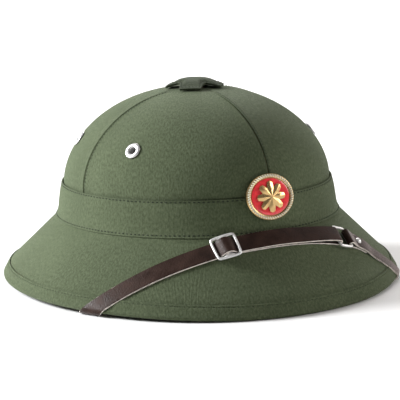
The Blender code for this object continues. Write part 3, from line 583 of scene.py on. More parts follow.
def copied(name, pattern, places):
    """One piece made of a copy of the pattern at each place. The pattern itself is removed."""
    copies = []
    for place in places:
        mesh = pattern.data.copy()
        mesh.transform(place)
        copy = bpy.data.objects.new(f"{name}_copy", mesh)
        bpy.context.scene.collection.objects.link(copy)
        copies.append(copy)
    bpy.data.objects.remove(pattern)
    deselect()
    for copy in copies:
        copy.select_set(True)
    bpy.context.view_layer.objects.active = copies[0]
    bpy.ops.object.join()
    return named(name)


def axes_at(point, normal, up):
    """Axes with Z along the normal and Y as near to up as it can be."""
    z_axis = normal.normalized()
    x_axis = up.cross(z_axis).normalized()
    y_axis = z_axis.cross(x_axis)
    return Matrix.Translation(point) @ Matrix((x_axis, y_axis, z_axis)).transposed().to_4x4()


def eyelet_places():
    """Axes of the four eyelets, in the order of QUARTERS, with Z out of the crown."""
    places = []
    for angle in (EYELET_ANGLE, math.pi - EYELET_ANGLE, math.pi + EYELET_ANGLE, -EYELET_ANGLE):
        here = crown_row(EYELET_RISE)
        higher = crown_row(EYELET_RISE + SLOPE_STEP)
        lower = crown_row(EYELET_RISE - SLOPE_STEP)
        along = on_row(here, angle + SLOPE_STEP) - on_row(here, angle - SLOPE_STEP)
        upward = on_row(higher, angle) - on_row(lower, angle)
        places.append(axes_at(on_row(here, angle), along.cross(upward), Vector((0, 0, 1))))
    return places


# Finishes

def node_group(name, inputs, outputs):
    group = bpy.data.node_groups.new(name, "ShaderNodeTree")
    for socket, kind, default in inputs:
        made = group.interface.new_socket(name=socket, in_out="INPUT", socket_type=kind)
        if default is not None:
            made.default_value = default
    for socket, kind in outputs:
        group.interface.new_socket(name=socket, in_out="OUTPUT", socket_type=kind)
    return group


def add(tree, kind, **values):
    node = tree.nodes.new(kind)
    for key, value in values.items():
        setattr(node, key, value)
    return node


def set_inputs(node, values):
    for name, value in values.items():
        node.inputs[name].default_value = value


def math_node(tree, operation, first, second=None, clamp=False):
    node = add(tree, "ShaderNodeMath", operation=operation, use_clamp=clamp)
    for index, value in enumerate((first, second)):
        if value is None:
            continue
        if isinstance(value, (int, float)):
            node.inputs[index].default_value = value
        else:
            tree.links.new(value, node.inputs[index])
    return node.outputs[0]


def noise(tree, vector, scale, detail=2.0, roughness=0.5):
    node = add(tree, "ShaderNodeTexNoise")
    set_inputs(node, {"Scale": scale, "Detail": detail, "Roughness": roughness})
    tree.links.new(vector, node.inputs["Vector"])
    return node.outputs["Fac"]


def stretch(tree, vector, scale):
    node = add(tree, "ShaderNodeMapping")
    set_inputs(node, {"Scale": scale})
    tree.links.new(vector, node.inputs["Vector"])
    return node.outputs["Vector"]


def remap(tree, value, low, high, to_low=0.0, to_high=1.0):
    node = add(tree, "ShaderNodeMapRange")
    set_inputs(node, {"From Min": low, "From Max": high, "To Min": to_low, "To Max": to_high})
    tree.links.new(value, node.inputs["Value"])
    return node.outputs["Result"]


def rgba(colour):
    return (*tuple(colour), 1.0)


def scaled(colour, share):
    """A colour made lighter or darker by a share."""
    return tuple(min(1, channel * share) for channel in colour)


def colour_by(tree, shader, amount, first, second):
    """Base Color that goes from one colour to another as the amount goes from 0 to 1."""
    node = add(tree, "ShaderNodeMix", data_type="RGBA")
    tree.links.new(amount, node.inputs["Factor"])
    for name, colour in (("A", first), ("B", second)):
        socket = [entry for entry in node.inputs if entry.name == name and entry.type == "RGBA"][0]
        socket.default_value = rgba(colour)
    mixed = [entry for entry in node.outputs if entry.type == "RGBA"][0]
    tree.links.new(mixed, shader.inputs["Base Color"])


def make_weave():
    """Ribbed weave: ribs run along V, their threads cross along U, and both coordinates are in metres."""
    tree = node_group("ribbed_weave",
                      [("Vector", "NodeSocketVector", None), ("Pitch", "NodeSocketFloat", 0.0009)],
                      [("Height", "NodeSocketFloat"), ("Slub", "NodeSocketFloat")])
    start = add(tree, "NodeGroupInput")
    end = add(tree, "NodeGroupOutput")
    part = add(tree, "ShaderNodeSeparateXYZ")
    tree.links.new(start.outputs["Vector"], part.inputs[0])
    ribs = math_node(tree, "DIVIDE", part.outputs["X"], start.outputs["Pitch"])
    wander = noise(tree, stretch(tree, start.outputs["Vector"], (300, 40, 1)), 1.0, 1.0)
    ribs = math_node(tree, "ADD", ribs, math_node(tree, "MULTIPLY", wander, 0.9))
    rib = math_node(tree, "ABSOLUTE", math_node(tree, "SINE", math_node(tree, "MULTIPLY", ribs, math.pi)))
    thread_pitch = math_node(tree, "MULTIPLY", start.outputs["Pitch"], 0.7)
    picks = math_node(tree, "DIVIDE", part.outputs["Y"], thread_pitch)
    picks = math_node(tree, "ADD", picks, math_node(tree, "MULTIPLY", math_node(tree, "FLOOR", ribs), 0.5))
    pick = math_node(tree, "SINE", math_node(tree, "MULTIPLY", picks, math.tau))
    height = math_node(tree, "ADD", rib, math_node(tree, "MULTIPLY", pick, 0.22))
    slub = noise(tree, stretch(tree, start.outputs["Vector"], (750, 420, 1)), 1.0, 3.0, 0.65)
    height = math_node(tree, "ADD", height, math_node(tree, "MULTIPLY", slub, 0.8))
    tree.links.new(height, end.inputs["Height"])
    tree.links.new(slub, end.inputs["Slub"])
    return tree


def make_wear():
    """Soft uneven patches, from 0 to 1."""
    tree = node_group("uneven_wear",
                      [("Vector", "NodeSocketVector", None), ("Scale", "NodeSocketFloat", 20.0)],
                      [("Mask", "NodeSocketFloat")])
    start = add(tree, "NodeGroupInput")
    end = add(tree, "NodeGroupOutput")
    patches = add(tree, "ShaderNodeTexNoise")
    set_inputs(patches, {"Detail": 5, "Roughness": 0.6})
    tree.links.new(start.outputs["Vector"], patches.inputs["Vector"])
    tree.links.new(start.outputs["Scale"], patches.inputs["Scale"])
    tree.links.new(remap(tree, patches.outputs["Fac"], 0.35, 0.65), end.inputs["Mask"])
    return tree


def new_finish(name, colour, roughness, metallic=0.0):
    material = bpy.data.materials.new(f"helmet_{name}")
    material.use_nodes = True
    tree = material.node_tree
    shader = tree.nodes["Principled BSDF"]
    set_inputs(shader, {"Base Color": rgba(colour), "Roughness": roughness, "Metallic": metallic})
    return tree, shader


def use_group(tree, group, vector):
    node = add(tree, "ShaderNodeGroup")
    node.node_tree = group
    tree.links.new(vector, node.inputs["Vector"])
    return node


def object_coordinates(tree):
    return add(tree, "ShaderNodeTexCoord").outputs["Object"]


def wear_mask(tree, wear, scale):
    node = use_group(tree, wear, object_coordinates(tree))
    set_inputs(node, {"Scale": scale})
    return node.outputs["Mask"]


def bump(tree, shader, height, distance, strength=1.0):
    node = add(tree, "ShaderNodeBump")
    set_inputs(node, {"Distance": distance, "Strength": strength})
    tree.links.new(height, node.inputs["Height"])
    tree.links.new(node.outputs["Normal"], shader.inputs["Normal"])


def cloth_finish(name, weave, wear, shade=1.0):
    # shade darkens both cloth colours; the cap's 0.42 is painted shade.
    dark = scaled(colours().cloth, shade)
    tree, shader = new_finish(name, dark, 0.92)
    threads = use_group(tree, weave, add(tree, "ShaderNodeTexCoord").outputs["UV"])
    set_inputs(threads, {"Pitch": sizes().rib_pitch})
    height = threads.outputs["Height"]
    slub = threads.outputs["Slub"]
    light = remap(tree, height, 0.3, 1.7, 0.0, 0.55)
    light = math_node(tree, "ADD", light, remap(tree, slub, 0.33, 0.67, -0.30, 0.38))
    patches = remap(tree, wear_mask(tree, wear, 22), 0, 1, -0.10, 0.10)
    light = math_node(tree, "ADD", light, patches, clamp=True)
    colour_by(tree, shader, light, dark, scaled(colours().cloth_light, shade))
    tree.links.new(remap(tree, slub, 0.2, 0.8, 0.96, 0.82), shader.inputs["Roughness"])
    set_inputs(shader, {"Sheen Weight": 0.12, "Sheen Roughness": 0.5, "Sheen Tint": (0.8, 0.9, 0.75, 1),
                        "Specular IOR Level": 0.2})
    bump(tree, shader, height, 0.00022, 0.8)


def leather_finish(wear):
    tree, shader = new_finish("leather", colours().leather, 0.4)
    mask = wear_mask(tree, wear, 90)
    pebbles = add(tree, "ShaderNodeTexVoronoi")
    set_inputs(pebbles, {"Scale": 900})
    tree.links.new(object_coordinates(tree), pebbles.inputs["Vector"])
    worn = tuple(channel * 1.9 + 0.004 for channel in colours().leather)
    colour_by(tree, shader, mask, colours().leather, worn)
    tree.links.new(remap(tree, mask, 0, 1, 0.36, 0.62), shader.inputs["Roughness"])
    set_inputs(shader, {"Specular IOR Level": 0.15, "Coat Weight": 0.10, "Coat Roughness": 0.3,
                        "Sheen Weight": 0.70, "Sheen Roughness": 0.3, "Sheen Tint": (1.0, 0.88, 0.85, 1)})
    bump(tree, shader, pebbles.outputs["Distance"], 0.0002, 0.8)


def leather_edge_finish(wear):
    tree, shader = new_finish("leather_edge", colours().leather_edge, 0.85)
    mask = wear_mask(tree, wear, 260)
    colour_by(tree, shader, mask, colours().leather_edge, scaled(colours().leather_edge, 0.6))
    bump(tree, shader, mask, 0.0001, 0.6)


def metal_finish(name, colour, roughness, metallic, wear):
    tree, shader = new_finish(name, colour, roughness, metallic)
    mask = wear_mask(tree, wear, 160)
    colour_by(tree, shader, mask, colour, scaled(colour, 0.78))
    tree.links.new(remap(tree, mask, 0, 1, roughness, roughness + 0.15), shader.inputs["Roughness"])
    bump(tree, shader, mask, 0.00003, 0.4)


def enamel_finish(wear):
    tree, shader = new_finish("enamel", colours().enamel, 0.22)
    mask = wear_mask(tree, wear, 240)
    colour_by(tree, shader, mask, colours().enamel, scaled(colours().enamel, 0.7))
    set_inputs(shader, {"Coat Weight": 0.6, "Coat Roughness": 0.12})
    bump(tree, shader, mask, 0.00004, 0.4)


def board_finish(wear):
    tree, shader = new_finish("board", colours().board, 0.9)
    fibres = noise(tree, stretch(tree, object_coordinates(tree), (900, 900, 260)), 1.0, 4.0, 0.65)
    patches = math_node(tree, "MULTIPLY", wear_mask(tree, wear, 45), 0.35)
    amount = math_node(tree, "ADD", patches, math_node(tree, "MULTIPLY", fibres, 0.5), clamp=True)
    colour_by(tree, shader, amount, colours().board, scaled(colours().board, 1.45))
    bump(tree, shader, fibres, 0.0003, 0.6)


def painted_shade_thread_finish():
    # The stitches' near-black colour is painted shade of the stitch holes; the twist noise lightens it a
    # little in places.
    tree, shader = new_finish("painted_shade_thread", colours().painted_shade_thread, 0.9)
    twist = noise(tree, object_coordinates(tree), 2500, 2)
    colour_by(tree, shader, twist, colours().painted_shade_thread, scaled(colours().painted_shade_thread, 1.6))
    bump(tree, shader, twist, 0.00005)


class HELMET_OT_finishes(bpy.types.Operator):
    """Make the cloth, thread, leather, metal, enamel and board finishes."""

    bl_idname = "helmet.finishes"
    bl_label = "Finishes"

    def execute(self, context):
        weave = make_weave()
        wear = make_wear()
        cloth_finish("cloth", weave, wear)
        # The cap's cloth is the same cloth darkened to 0.42, painted shade on the cap.
        cloth_finish("cap_cloth_painted_shade", weave, wear, 0.42)
        leather_finish(wear)
        leather_edge_finish(wear)
        metal_finish("metal", colours().metal, 0.32, 0.45, wear)
        metal_finish("eyelet_metal", scaled(colours().metal, 0.84), 0.28, 0.75, wear)
        metal_finish("gilt", colours().gilt, 0.34, 0.12, wear)
        metal_finish("brass_and_gap_shade", colours().brass_and_gap_shade, 0.22, 0.85, wear)
        enamel_finish(wear)
        board_finish(wear)
        painted_shade_thread_finish()
        return {"FINISHED"}


# Pieces

class HELMET_OT_shell(bpy.types.Operator):
    """Make the pressed shell, in one from the rim to the hole in the top."""

    bl_idname = "helmet.shell"
    bl_label = "Shell"

    def execute(self, context):
        rows = [rim_row(0, RIM_RADIUS, back) for back in (0.0, HEM_LENGTH * 0.5, HEM_LENGTH)]
        rows += [between(rows[-1], band_row(0), share) for share in (0.25, 0.5, 0.75, 1.0)]
        rows += crown_rows(0, SHELL_STEPS)
        shell = wall_sheet("pressed_shell", inset(rows, CLOTH + GAP))
        thicken(shell, SHELL, 0)
        drill(shell, eyelet_places())
        finish(shell, "board", "shell")
        return {"FINISHED"}


class HELMET_OT_panels(bpy.types.Operator):
    """Make the crown's four cloth panels, drawn in at their seams."""

    bl_idname = "helmet.panels"
    bl_label = "Crown panels"

    def execute(self, context):
        rows = crown_rows(0.1, PANEL_STEPS)
        for quarter, (name, place) in enumerate(zip(QUARTERS, eyelet_places())):
            panel = wall_sheet(f"cloth_panel_{name}", rows, math.pi / 4 + quarter * math.pi / 2)
            thicken(panel, CLOTH, CLOTH_ROUNDING)
            drill(panel, [place])
            finish(panel, "cloth", f"crown_panel_{name}")
        return {"FINISHED"}


def band_face(share):
    """Oval on the band's outer face: fuller in the middle and pressed in along its stitches."""
    bulge = BAND_BULGE * smooth(share / 0.35) * (1 - 0.6 * smooth((share - 0.7) / 0.3))
    groove = BAND_GROOVE * max(0.0, 1 - abs(min(share, 1 - share) - BAND_STITCH_SHARE) / 0.04)
    out = CLOTH + GAP + bulge - groove
    here = band_row(share)
    here["half_width"] += out
    here["half_length"] += out
    return here


class HELMET_OT_band(bpy.types.Operator):
    """Make the cloth band round the crown's foot."""

    bl_idname = "helmet.band"
    bl_label = "Band"

    def execute(self, context):
        shares = (0.0, 0.015, 0.03, 0.05, 0.07, 0.1, 0.16, 0.24, 0.36, 0.5,
                  0.65, 0.8, 0.9, 0.93, 0.95, 0.97, 0.99, 1.0)
        band = wall_sheet("cloth_band", [band_face(share) for share in shares])
        thicken(band, CLOTH, CLOTH_ROUNDING)
        finish(band, "cloth", "band")
        return {"FINISHED"}


class HELMET_OT_brim(bpy.types.Operator):
    """Make the brim's cloth cover and the hem folded round its edge."""

    bl_idname = "helmet.brim"
    bl_label = "Brim"

    def execute(self, context):
        foot = rim_row(0, RIM_RADIUS, HEM_LENGTH + HEM_TUCK)
        rows = [between(foot, band_row(0), step / 10) for step in range(11)]
        rows += [band_row(share) for share in (0.03, 0.07)]
        cover = wall_sheet("cloth_brim", rows)
        thicken(cover, CLOTH, COVER_ROUNDING)
        finish(cover, "cloth", "brim_cover")

        outside = (1.0, 0.975, 0.95, 0.9, 0.85, 0.81, 0.77, 0.7, 0.55, 0.35, 0.15)
        inside = (0.3, 0.6, 0.9, 0.98)
        rows = [hem_face(share) for share in outside]
        rows += [rim_row(math.pi * step / 12, RIM_RADIUS) for step in range(13)]
        rows += [rim_row(math.pi, RIM_RADIUS, HEM_LENGTH * share) for share in inside]
        hem = wall_sheet("cloth_hem", rows[::-1])
        thicken(hem, CLOTH, CLOTH_ROUNDING)
        finish(hem, "cloth", "brim_hem")
        return {"FINISHED"}


def hem_face(share):
    """Oval on the hem's outer face: its top edge stands up and its stitches press in."""
    rise = HEM_RAISE * smooth(share / 0.9) - HEM_TUCK * smooth((share - 0.95) / 0.05)
    groove = HEM_GROOVE * max(0.0, 1 - abs(share - HEM_STITCH_SHARE) / 0.08)
    return rim_row(0, RIM_RADIUS + rise - groove, HEM_LENGTH * share)


def stitch_line(name, points, normals, kind):
    """Stitches along a line of points with their outward normals, all copies of one."""
    pitch = sizes().stitch_pitch * kind[0]
    length = sizes().stitch_length * kind[1]
    width = sizes().stitch_width * kind[2]
    spans = [(end - start).length for start, end in zip(points, points[1:])]
    total = sum(spans)
    count = round(total / pitch)
    places = []
    step = 0
    travelled = 0.0
    for index in range(count):
        target = total * (index + 0.5) / count
        while step < len(spans) - 1 and travelled + spans[step] < target:
            travelled += spans[step]
            step += 1
        along = (points[step + 1] - points[step]).normalized()
        across = normals[step].cross(along).normalized()
        place = Matrix((along, across, along.cross(across))).transposed().to_4x4()
        place.translation = points[step] + along * (target - travelled)
        places.append(place)
    stitch = bead("stitch", 6, 5, (length, width * STITCH_SPREAD, width))
    finish(copied(name, stitch, places), "painted_shade_thread", slot="cloth", angle=80)


def oval_stitches(name, here, outward, kind):
    """Stitches all round an oval; outward is the wall's normal as (away from the middle, up)."""
    away, up = outward
    turns = [math.tau * step / 720 for step in range(721)]
    points = [on_row(here, turn) for turn in turns]
    normals = [Vector((math.sin(turn) * away, -math.cos(turn) * away, up)) for turn in turns]
    stitch_line(name, points, normals, kind)


class HELMET_OT_stitches(bpy.types.Operator):
    """Sew the band's two edges, the crown's seams and the hem."""

    bl_idname = "helmet.stitches"
    bl_label = "Stitches"

    def execute(self, context):
        top = band_face(1 - BAND_STITCH_SHARE)
        foot = band_face(BAND_STITCH_SHARE)
        oval_stitches("stitches_band_top", top, (1.0, 0.1), BAND_STITCH)
        oval_stitches("stitches_band_foot", foot, (0.9, 0.4), BAND_STITCH)
        oval_stitches("stitches_hem", hem_face(HEM_STITCH_SHARE), (0.6, 0.8), HEM_STITCH)
        for index, name in enumerate(("front", "left", "back", "right")):
            points = []
            normals = []
            for step in range(61):
                rise = 0.02 + 0.95 * math.sin(math.pi / 2 * step / 60)
                here = crown_row(rise)
                outer = inset([here, crown_row(rise + SLOPE_STEP)], -SEAM_STITCH_RAISE)[0]
                angle = index * math.pi / 2 + SEAM_STITCH_ASIDE / mean_radius(here)
                angle += seam_turn(here, angle)
                points.append(on_row(outer, angle))
                normals.append((points[-1] - on_row(here, angle)).normalized())
            stitch_line(f"stitches_crown_{name}", points, normals, CROWN_STITCH)
        return {"FINISHED"}


def cap_outline():
    """Outline of the cap seen from above: four flaps that point at the middles of the panels."""
    half = CAP_ARM_WIDTH / 2
    root = half + CAP_FLAP_ROOT
    corner = CAP_FLAP_CORNER
    keys = ((root + corner, -root + corner / 2), (CAP_REACH - corner, -half - CAP_FLAP_FLARE),
            (CAP_REACH, -half + corner), (CAP_REACH, half - corner),
            (CAP_REACH - corner, half + CAP_FLAP_FLARE), (root + corner, root - corner / 2))
    points = []
    for arm in range(4):
        turn = CAP_TURN + arm * math.pi / 2
        for start, end, parts in zip(keys, keys[1:], (8, 3, 12, 3, 8)):
            for part in range(parts):
                share = part / parts
                along, aside = (low + (high - low) * share for low, high in zip(start, end))
                points.append((along * math.cos(turn) - aside * math.sin(turn),
                               along * math.sin(turn) + aside * math.cos(turn)))
    return points


def cap_point(outline_point, share):
    """Point on the cap's outer face, with a raised hem along its edge."""
    x, y = outline_point
    forward = abs(x * math.cos(CAP_TURN) + y * math.sin(CAP_TURN))
    aside = abs(x * math.sin(CAP_TURN) - y * math.cos(CAP_TURN))
    reach = (forward ** 4 + aside ** 4) ** 0.25 * share / CAP_REACH
    across, along = x * share, y * share - CROWN_LEAN
    out = math.hypot(across / (CROWN_WIDTH / 2), (along + CROWN_LEAN) / (CROWN_LENGTH / 2))
    rise = (1 - out ** CROWN_FULLNESS[1]) ** (1 / CROWN_FULLNESS[0])
    seat = CROWN_BASE + rise * CROWN_RISE + 1.5 * GAP
    top = CROWN_BASE + CROWN_RISE + CAP_RISE - CAP_WALL + CAP_DOME
    hem = CAP_HEM_RAISE * smooth((share - 0.86) / 0.05)
    dome = (top - seat) * (1 - min(1, reach) ** 2) * (1 - 0.5 * smooth((share - 0.55) / 0.45))
    return Vector((across, along, seat + dome + CAP_WALL + hem))


class HELMET_OT_vent_cap(bpy.types.Operator):
    """Make the cloth ventilator cap with its hemmed and sewn edge."""

    bl_idname = "helmet.vent_cap"
    bl_label = "Ventilator cap"

    def execute(self, context):
        outline = cap_outline()
        sides = len(outline)
        shares = (1.0, 0.985, 0.95, 0.91, 0.885, 0.86, 0.8, 0.7, 0.58, 0.45, 0.32, 0.18, 0.08, 0.02)
        cap = extrude_rings("cloth_vent_cap", [(share, share, 0.0, 0.0) for share in shares], sides)
        mesh = cap.data
        bare_of_maps(mesh)
        for index, vertex in enumerate(mesh.vertices):
            vertex.co = cap_point(outline[index % sides], shares[index // sides])
        open_mesh(cap)
        bpy.ops.mesh.remove_doubles(threshold=0.00012)
        bpy.ops.mesh.select_all(action="SELECT")
        bpy.ops.mesh.normals_make_consistent(inside=False)
        close_mesh()
        if sum(face.normal.z * face.area for face in mesh.polygons) < 0:
            mesh.flip_normals()
        layer = mesh.uv_layers.new(name="cloth")
        for corner in mesh.loops:
            point = mesh.vertices[corner.vertex_index].co
            layer.data[corner.index].uv = Vector((point.x + point.y, point.x - point.y)) / math.sqrt(2)
        thicken(cap, CAP_WALL, CLOTH_ROUNDING)
        # The cap takes the cloth darkened as painted shade.
        finish(cap, "cap_cloth_painted_shade", "vent_cap", slot="cloth", angle=50)
        clear = Vector((0, 0, 0.0001))
        points = [cap_point(point, CAP_STITCH_SHARE) + clear for point in outline + outline[:1]]
        normals = [Vector((point.x, point.y, 0.05)).normalized() for point in points]
        stitch_line("stitches_vent_cap", points, normals, CAP_STITCH)
        return {"FINISHED"}


def turned(name, profile, place, sides=48, widen=1.0):
    """A piece turned about Z from (radius, height) pairs, then put in its place.

    The profile either starts and ends at the same point or starts and ends at the axis.
    """
    rings = [(radius * widen, radius, 0.0, height) for radius, height in profile]
    piece = extrude_rings(name, rings, sides)
    open_mesh(piece)
    bpy.ops.mesh.remove_doubles(threshold=RING_MERGE if profile[0] == profile[-1] else POLE_MERGE)
    bpy.ops.mesh.select_all(action="SELECT")
    bpy.ops.mesh.normals_make_consistent(inside=False)
    close_mesh()
    piece.data.transform(place)
    return piece


class HELMET_OT_eyelets(bpy.types.Operator):
    """Make the four rolled eyelets."""

    bl_idname = "helmet.eyelets"
    bl_label = "Eyelets"

    def execute(self, context):
        hole = sizes().eyelet_hole / 2
        flange = sizes().eyelet_flange / 2
        inside = -(CLOTH + GAP + SHELL) - 2 * GAP
        profile = [(hole + EYELET_WALL, inside), (hole + EYELET_WALL, GAP), (flange - 0.0005, GAP)]
        middle = (hole + flange) / 2
        half = (flange - hole) / 2
        for step in range(9):
            turn = math.pi * step / 8
            rise = EYELET_ROLL * math.sin(turn) ** 0.7 if 0 < step < 8 else 0.0
            profile.append((middle + half * math.cos(turn), GAP + EYELET_SEAT + rise))
        profile += [(hole, inside - EYELET_LIP / 2), (hole + 0.0003, inside - EYELET_LIP),
                    (hole + 0.0014, inside - EYELET_LIP), (hole + 0.0018, inside - EYELET_LIP / 2),
                    (hole + 0.0014, inside), profile[0]]
        for name, place in zip(QUARTERS, eyelet_places()):
            piece = turned(f"metal_eyelet_{name}", profile, place)
            finish(piece, "eyelet_metal", f"eyelet_{name}", slot="metal", angle=50)
        return {"FINISHED"}


def badge_axes():
    """Axes of the badge: at the middle of its plate's back, with Z away from the crown and Y upright."""
    points = [vertex.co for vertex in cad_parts["badge_plate"].data.vertices]
    turn = math.asin(BADGE_SIDE / (CROWN_WIDTH / 2))
    level = Vector((math.sin(turn) / CROWN_WIDTH, -math.cos(turn) / CROWN_LENGTH, 0)).normalized()
    outward = level * math.cos(BADGE_TILT) + Vector((0, 0, math.sin(BADGE_TILT)))
    axes = axes_at(Vector(), outward, Vector((0, 0, 1)))
    seen = [axes.inverted() @ point for point in points]
    low = [min(point[axis] for point in seen) for axis in range(3)]
    high = [max(point[axis] for point in seen) for axis in range(3)]
    return axes @ Matrix.Translation(((low[0] + high[0]) / 2, (low[1] + high[1]) / 2, low[2]))


class HELMET_OT_badge(bpy.types.Operator):
    """Make the badge: plate with a reeded rim, enamel field and rosette."""

    bl_idname = "helmet.badge"
    bl_label = "Badge"

    def execute(self, context):
        place = badge_axes()
        widen = BADGE_WIDTH / BADGE_TALL
        radius = BADGE_TALL / 2
        recess = radius - BADGE_RIM
        top = BADGE_THICKNESS
        plate = [(POLE_RADIUS, 0), (radius - 0.0006, 0), (radius - 0.0001, 0.0004), (radius, 0.0009),
                 (radius, 0.0015), (radius - 0.0003, 0.0019), (radius - 0.0008, top),
                 (recess + 0.0007, top), (recess + 0.0003, 0.0019), (recess + 0.0001, BADGE_FLOOR),
                 (POLE_RADIUS, BADGE_FLOOR)]
        # The plate is darker than the reeds on it: painted shade in the gaps between the reeds.
        finish(turned("gilt_plate", plate, place, 96, widen), "brass_and_gap_shade", "badge_plate", slot="gilt")

        places = []
        count = sizes().reeds
        reach = radius - REED_INSET
        for index in range(count):
            turn = math.tau * index / count
            centre = Vector((reach * widen * math.cos(turn), reach * math.sin(turn), top))
            outward = math.atan2(math.sin(turn) * widen, math.cos(turn))
            spin = Matrix.Rotation(outward + REED_SLANT, 4, "Z")
            places.append(place @ Matrix.Translation(centre) @ spin)
        reed = bead("reed", 8, 6, (REED_LENGTH, REED_WIDTH, REED_HEIGHT))
        finish(copied("gilt_reeds", reed, places), "gilt", angle=80)

        low = BADGE_FLOOR + GAP
        field = recess - GAP
        enamel = [(POLE_RADIUS, low), (field, low), (field, low + 0.0002), (field * 0.97, low + 0.00035),
                  (field * 0.8, low + 0.00048), (field * 0.5, low + 0.00056), (POLE_RADIUS, low + 0.0006)]
        finish(turned("enamel_field", enamel, place, 96, widen), "enamel", "badge_enamel")

        rosette = node_copy("gilt_rosette", "badge_rosette")
        apply_modifier(rosette, "BEVEL", width=0.00022, segments=2, limit_method="ANGLE",
                       angle_limit=math.radians(12))
        finish(rosette, "brass_and_gap_shade", "badge_rosette", slot="gilt", angle=20)
        return {"FINISHED"}


def pale_edge(strap):
    """Rounds the lower cut edges over, so that the pale leather shows along them."""
    mesh = strap.data
    low = {}
    for face in mesh.polygons:
        if face.material_index == 1 and face.normal.z < -0.1:
            for key in face.edge_keys:
                low[key] = low.get(key, 0) + 1
    weights = mesh.attributes.new("bevel_weight_edge", "FLOAT", "EDGE")
    sharp = sharp_edges(strap, 40)
    for edge in mesh.edges:
        chosen = low.get(tuple(sorted(edge.vertices)), 0) == 1 and edge.index in sharp
        weights.data[edge.index].value = 1.0 if chosen else 0.0
    apply_modifier(strap, "BEVEL", width=STRAP_EDGE_ROUNDING, segments=3, limit_method="WEIGHT", material=1)


def strap_piece(name, node):
    """A strap: a welded copy of its solid, smoothed along its length, with pale cut edges."""
    strap = node_copy(name, node)
    mesh = strap.data
    keys = {tuple(sorted(mesh.edges[index].vertices)) for index in sharp_edges(strap, 50)}
    mesh.materials.append(bpy.data.materials["helmet_leather"])
    mesh.materials.append(bpy.data.materials["helmet_leather_edge"])
    for face in mesh.polygons:
        edges = list(face.edge_keys)
        if len(edges) != 4:
            continue
        for first in (0, 1):
            pair = (tuple(sorted(edges[first])), tuple(sorted(edges[first + 2])))
            if pair[0] in keys and pair[1] in keys:
                ends = [sum((mesh.vertices[vertex].co for vertex in key), Vector()) / 2 for key in pair]
                if (ends[0] - ends[1]).length < STRAP_EDGE_LIMIT:
                    face.material_index = 1
    crease(strap, 50, 0.85)
    smooth_form(strap)
    pale_edge(strap)
    finish(strap, "leather", node, angle=50)


class HELMET_OT_straps(bpy.types.Operator):
    """Make the two leather straps."""

    bl_idname = "helmet.straps"
    bl_label = "Straps"

    def execute(self, context):
        strap_piece("leather_chin_strap", "chin_strap")
        strap_piece("leather_short_strap", "short_strap")
        return {"FINISHED"}


class HELMET_OT_hardware(bpy.types.Operator):
    """Make the slide, the ring and the studs."""

    bl_idname = "helmet.hardware"
    bl_label = "Slide, ring and studs"

    def execute(self, context):
        for name, node in (("metal_slide", "strap_slide"), ("metal_ring", "strap_ring")):
            wire = node_copy(name, node)
            open_mesh(wire)
            bpy.ops.transform.shrink_fatten(value=WIRE_SWELL)
            close_mesh()
            smooth_form(wire)
            finish(wire, "metal", node, angle=70)
        for kind in ("stud", "anchor_left", "anchor_right"):
            stud = node_copy(f"metal_{kind}", f"strap_{kind}")
            crease(stud, 60, 0.8)
            smooth_form(stud)
            finish(stud, "metal", f"strap_{kind}", angle=50)
        return {"FINISHED"}


# Studio

def place_camera():
    """Puts the camera in the place that was fitted to the photo."""
    back = Vector((math.sin(VIEW_TURN) * math.cos(VIEW_RISE), -math.cos(VIEW_TURN) * math.cos(VIEW_RISE),
                   math.sin(VIEW_RISE)))
    right = Vector((math.cos(VIEW_TURN), math.sin(VIEW_TURN), 0))
    up = back.cross(right)
    across = math.cos(VIEW_ROLL) * right + math.sin(VIEW_ROLL) * up
    upward = -math.sin(VIEW_ROLL) * right + math.cos(VIEW_ROLL) * up
    aim = Vector((0, 0, VIEW_AIM_HEIGHT)) + VIEW_SHIFT_ACROSS * across + VIEW_SHIFT_UP * upward
    lens = bpy.data.cameras.new("camera")
    lens.sensor_width = SENSOR_WIDTH_MM
    lens.lens = SENSOR_WIDTH_MM * PHOTO_PX_PER_METRE * VIEW_DISTANCE / PHOTO_WIDTH_PX
    lens.clip_start = 0.01
    lens.clip_end = 50
    camera = bpy.data.objects.new("camera", lens)
    turn = Matrix((across, upward, back)).transposed().to_4x4()
    camera.matrix_world = Matrix.Translation(aim + back * VIEW_DISTANCE) @ turn
    bpy.context.scene.collection.objects.link(camera)
    bpy.context.scene.camera = camera


def place_lamp(name, place, size, power, tint):
    """A round lamp that looks at the helmet."""
    light = bpy.data.lights.new(name, "AREA")
    light.shape = "DISK"
    light.size = size
    light.energy = power
    light.color = tint
    lamp = bpy.data.objects.new(name, light)
    turn = (Vector(place) - LAMP_AIM).to_track_quat("Z", "Y").to_matrix().to_4x4()
    lamp.matrix_world = Matrix.Translation(place) @ turn
    bpy.context.scene.collection.objects.link(lamp)


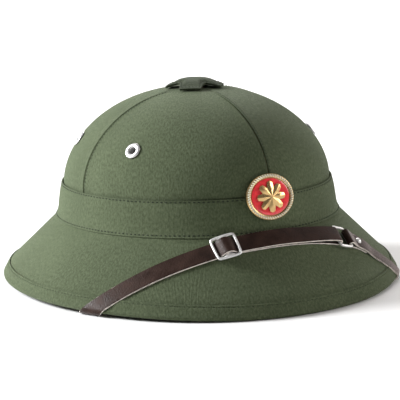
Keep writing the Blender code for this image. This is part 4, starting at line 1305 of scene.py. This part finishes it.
class HELMET_OT_stage(bpy.types.Operator):
    """Make the floor, the lights and the camera."""

    bl_idname = "helmet.stage"
    bl_label = "Stage"

    def execute(self, context):
        deselect()
        bpy.ops.mesh.primitive_plane_add(size=12, location=(0, 0, -0.0003))
        floor = named("floor")
        shader = new_finish("floor", colours().floor, 0.9)[1]
        set_inputs(shader, {"Specular IOR Level": 0.1})
        floor.data.materials.append(bpy.data.materials["helmet_floor"])
        place_camera()
        for lamp in LAMPS:
            place_lamp(*lamp)
        world = bpy.data.worlds.new("studio")
        world.use_nodes = True
        set_inputs(world.node_tree.nodes["Background"], {"Color": (1, 1, 1, 1), "Strength": ROOM_LIGHT})
        bpy.context.scene.world = world
        bpy.context.scene.view_settings.view_transform = "Standard"
        return {"FINISHED"}


class HELMET_PT_panel(bpy.types.Panel):
    """Sizes, colours and steps of the helmet."""

    bl_label = "Helmet"
    bl_idname = "HELMET_PT_panel"
    bl_space_type = "VIEW_3D"
    bl_region_type = "UI"
    bl_category = "Helmet"

    def draw(self, context):
        layout = self.layout
        for group in (context.scene.helmet_sizes, context.scene.helmet_colours):
            for key in group.__annotations__:
                layout.prop(group, key)
        for step in STEPS:
            layout.operator(step.bl_idname)


STEPS = (HELMET_OT_finishes, HELMET_OT_shell, HELMET_OT_panels, HELMET_OT_band, HELMET_OT_brim,
         HELMET_OT_stitches, HELMET_OT_vent_cap, HELMET_OT_eyelets, HELMET_OT_badge, HELMET_OT_straps,
         HELMET_OT_hardware, HELMET_OT_stage)
CLASSES = (HelmetSizes, HelmetColours) + STEPS + (HELMET_PT_panel,)


def register():
    for entry in CLASSES:
        bpy.utils.register_class(entry)
    bpy.types.Scene.helmet_sizes = bpy.props.PointerProperty(type=HelmetSizes)
    bpy.types.Scene.helmet_colours = bpy.props.PointerProperty(type=HelmetColours)


def unregister():
    del bpy.types.Scene.helmet_colours
    del bpy.types.Scene.helmet_sizes
    for entry in reversed(CLASSES):
        bpy.utils.unregister_class(entry)


def main():
    register()
    bpy.ops.helmet.finishes()
    bpy.ops.helmet.shell()
    bpy.ops.helmet.panels()
    bpy.ops.helmet.band()
    bpy.ops.helmet.brim()
    bpy.ops.helmet.stitches()
    bpy.ops.helmet.vent_cap()
    bpy.ops.helmet.eyelets()
    bpy.ops.helmet.badge()
    bpy.ops.helmet.straps()
    bpy.ops.helmet.hardware()
    bpy.ops.helmet.stage()


if __name__ == "__main__":
    main()
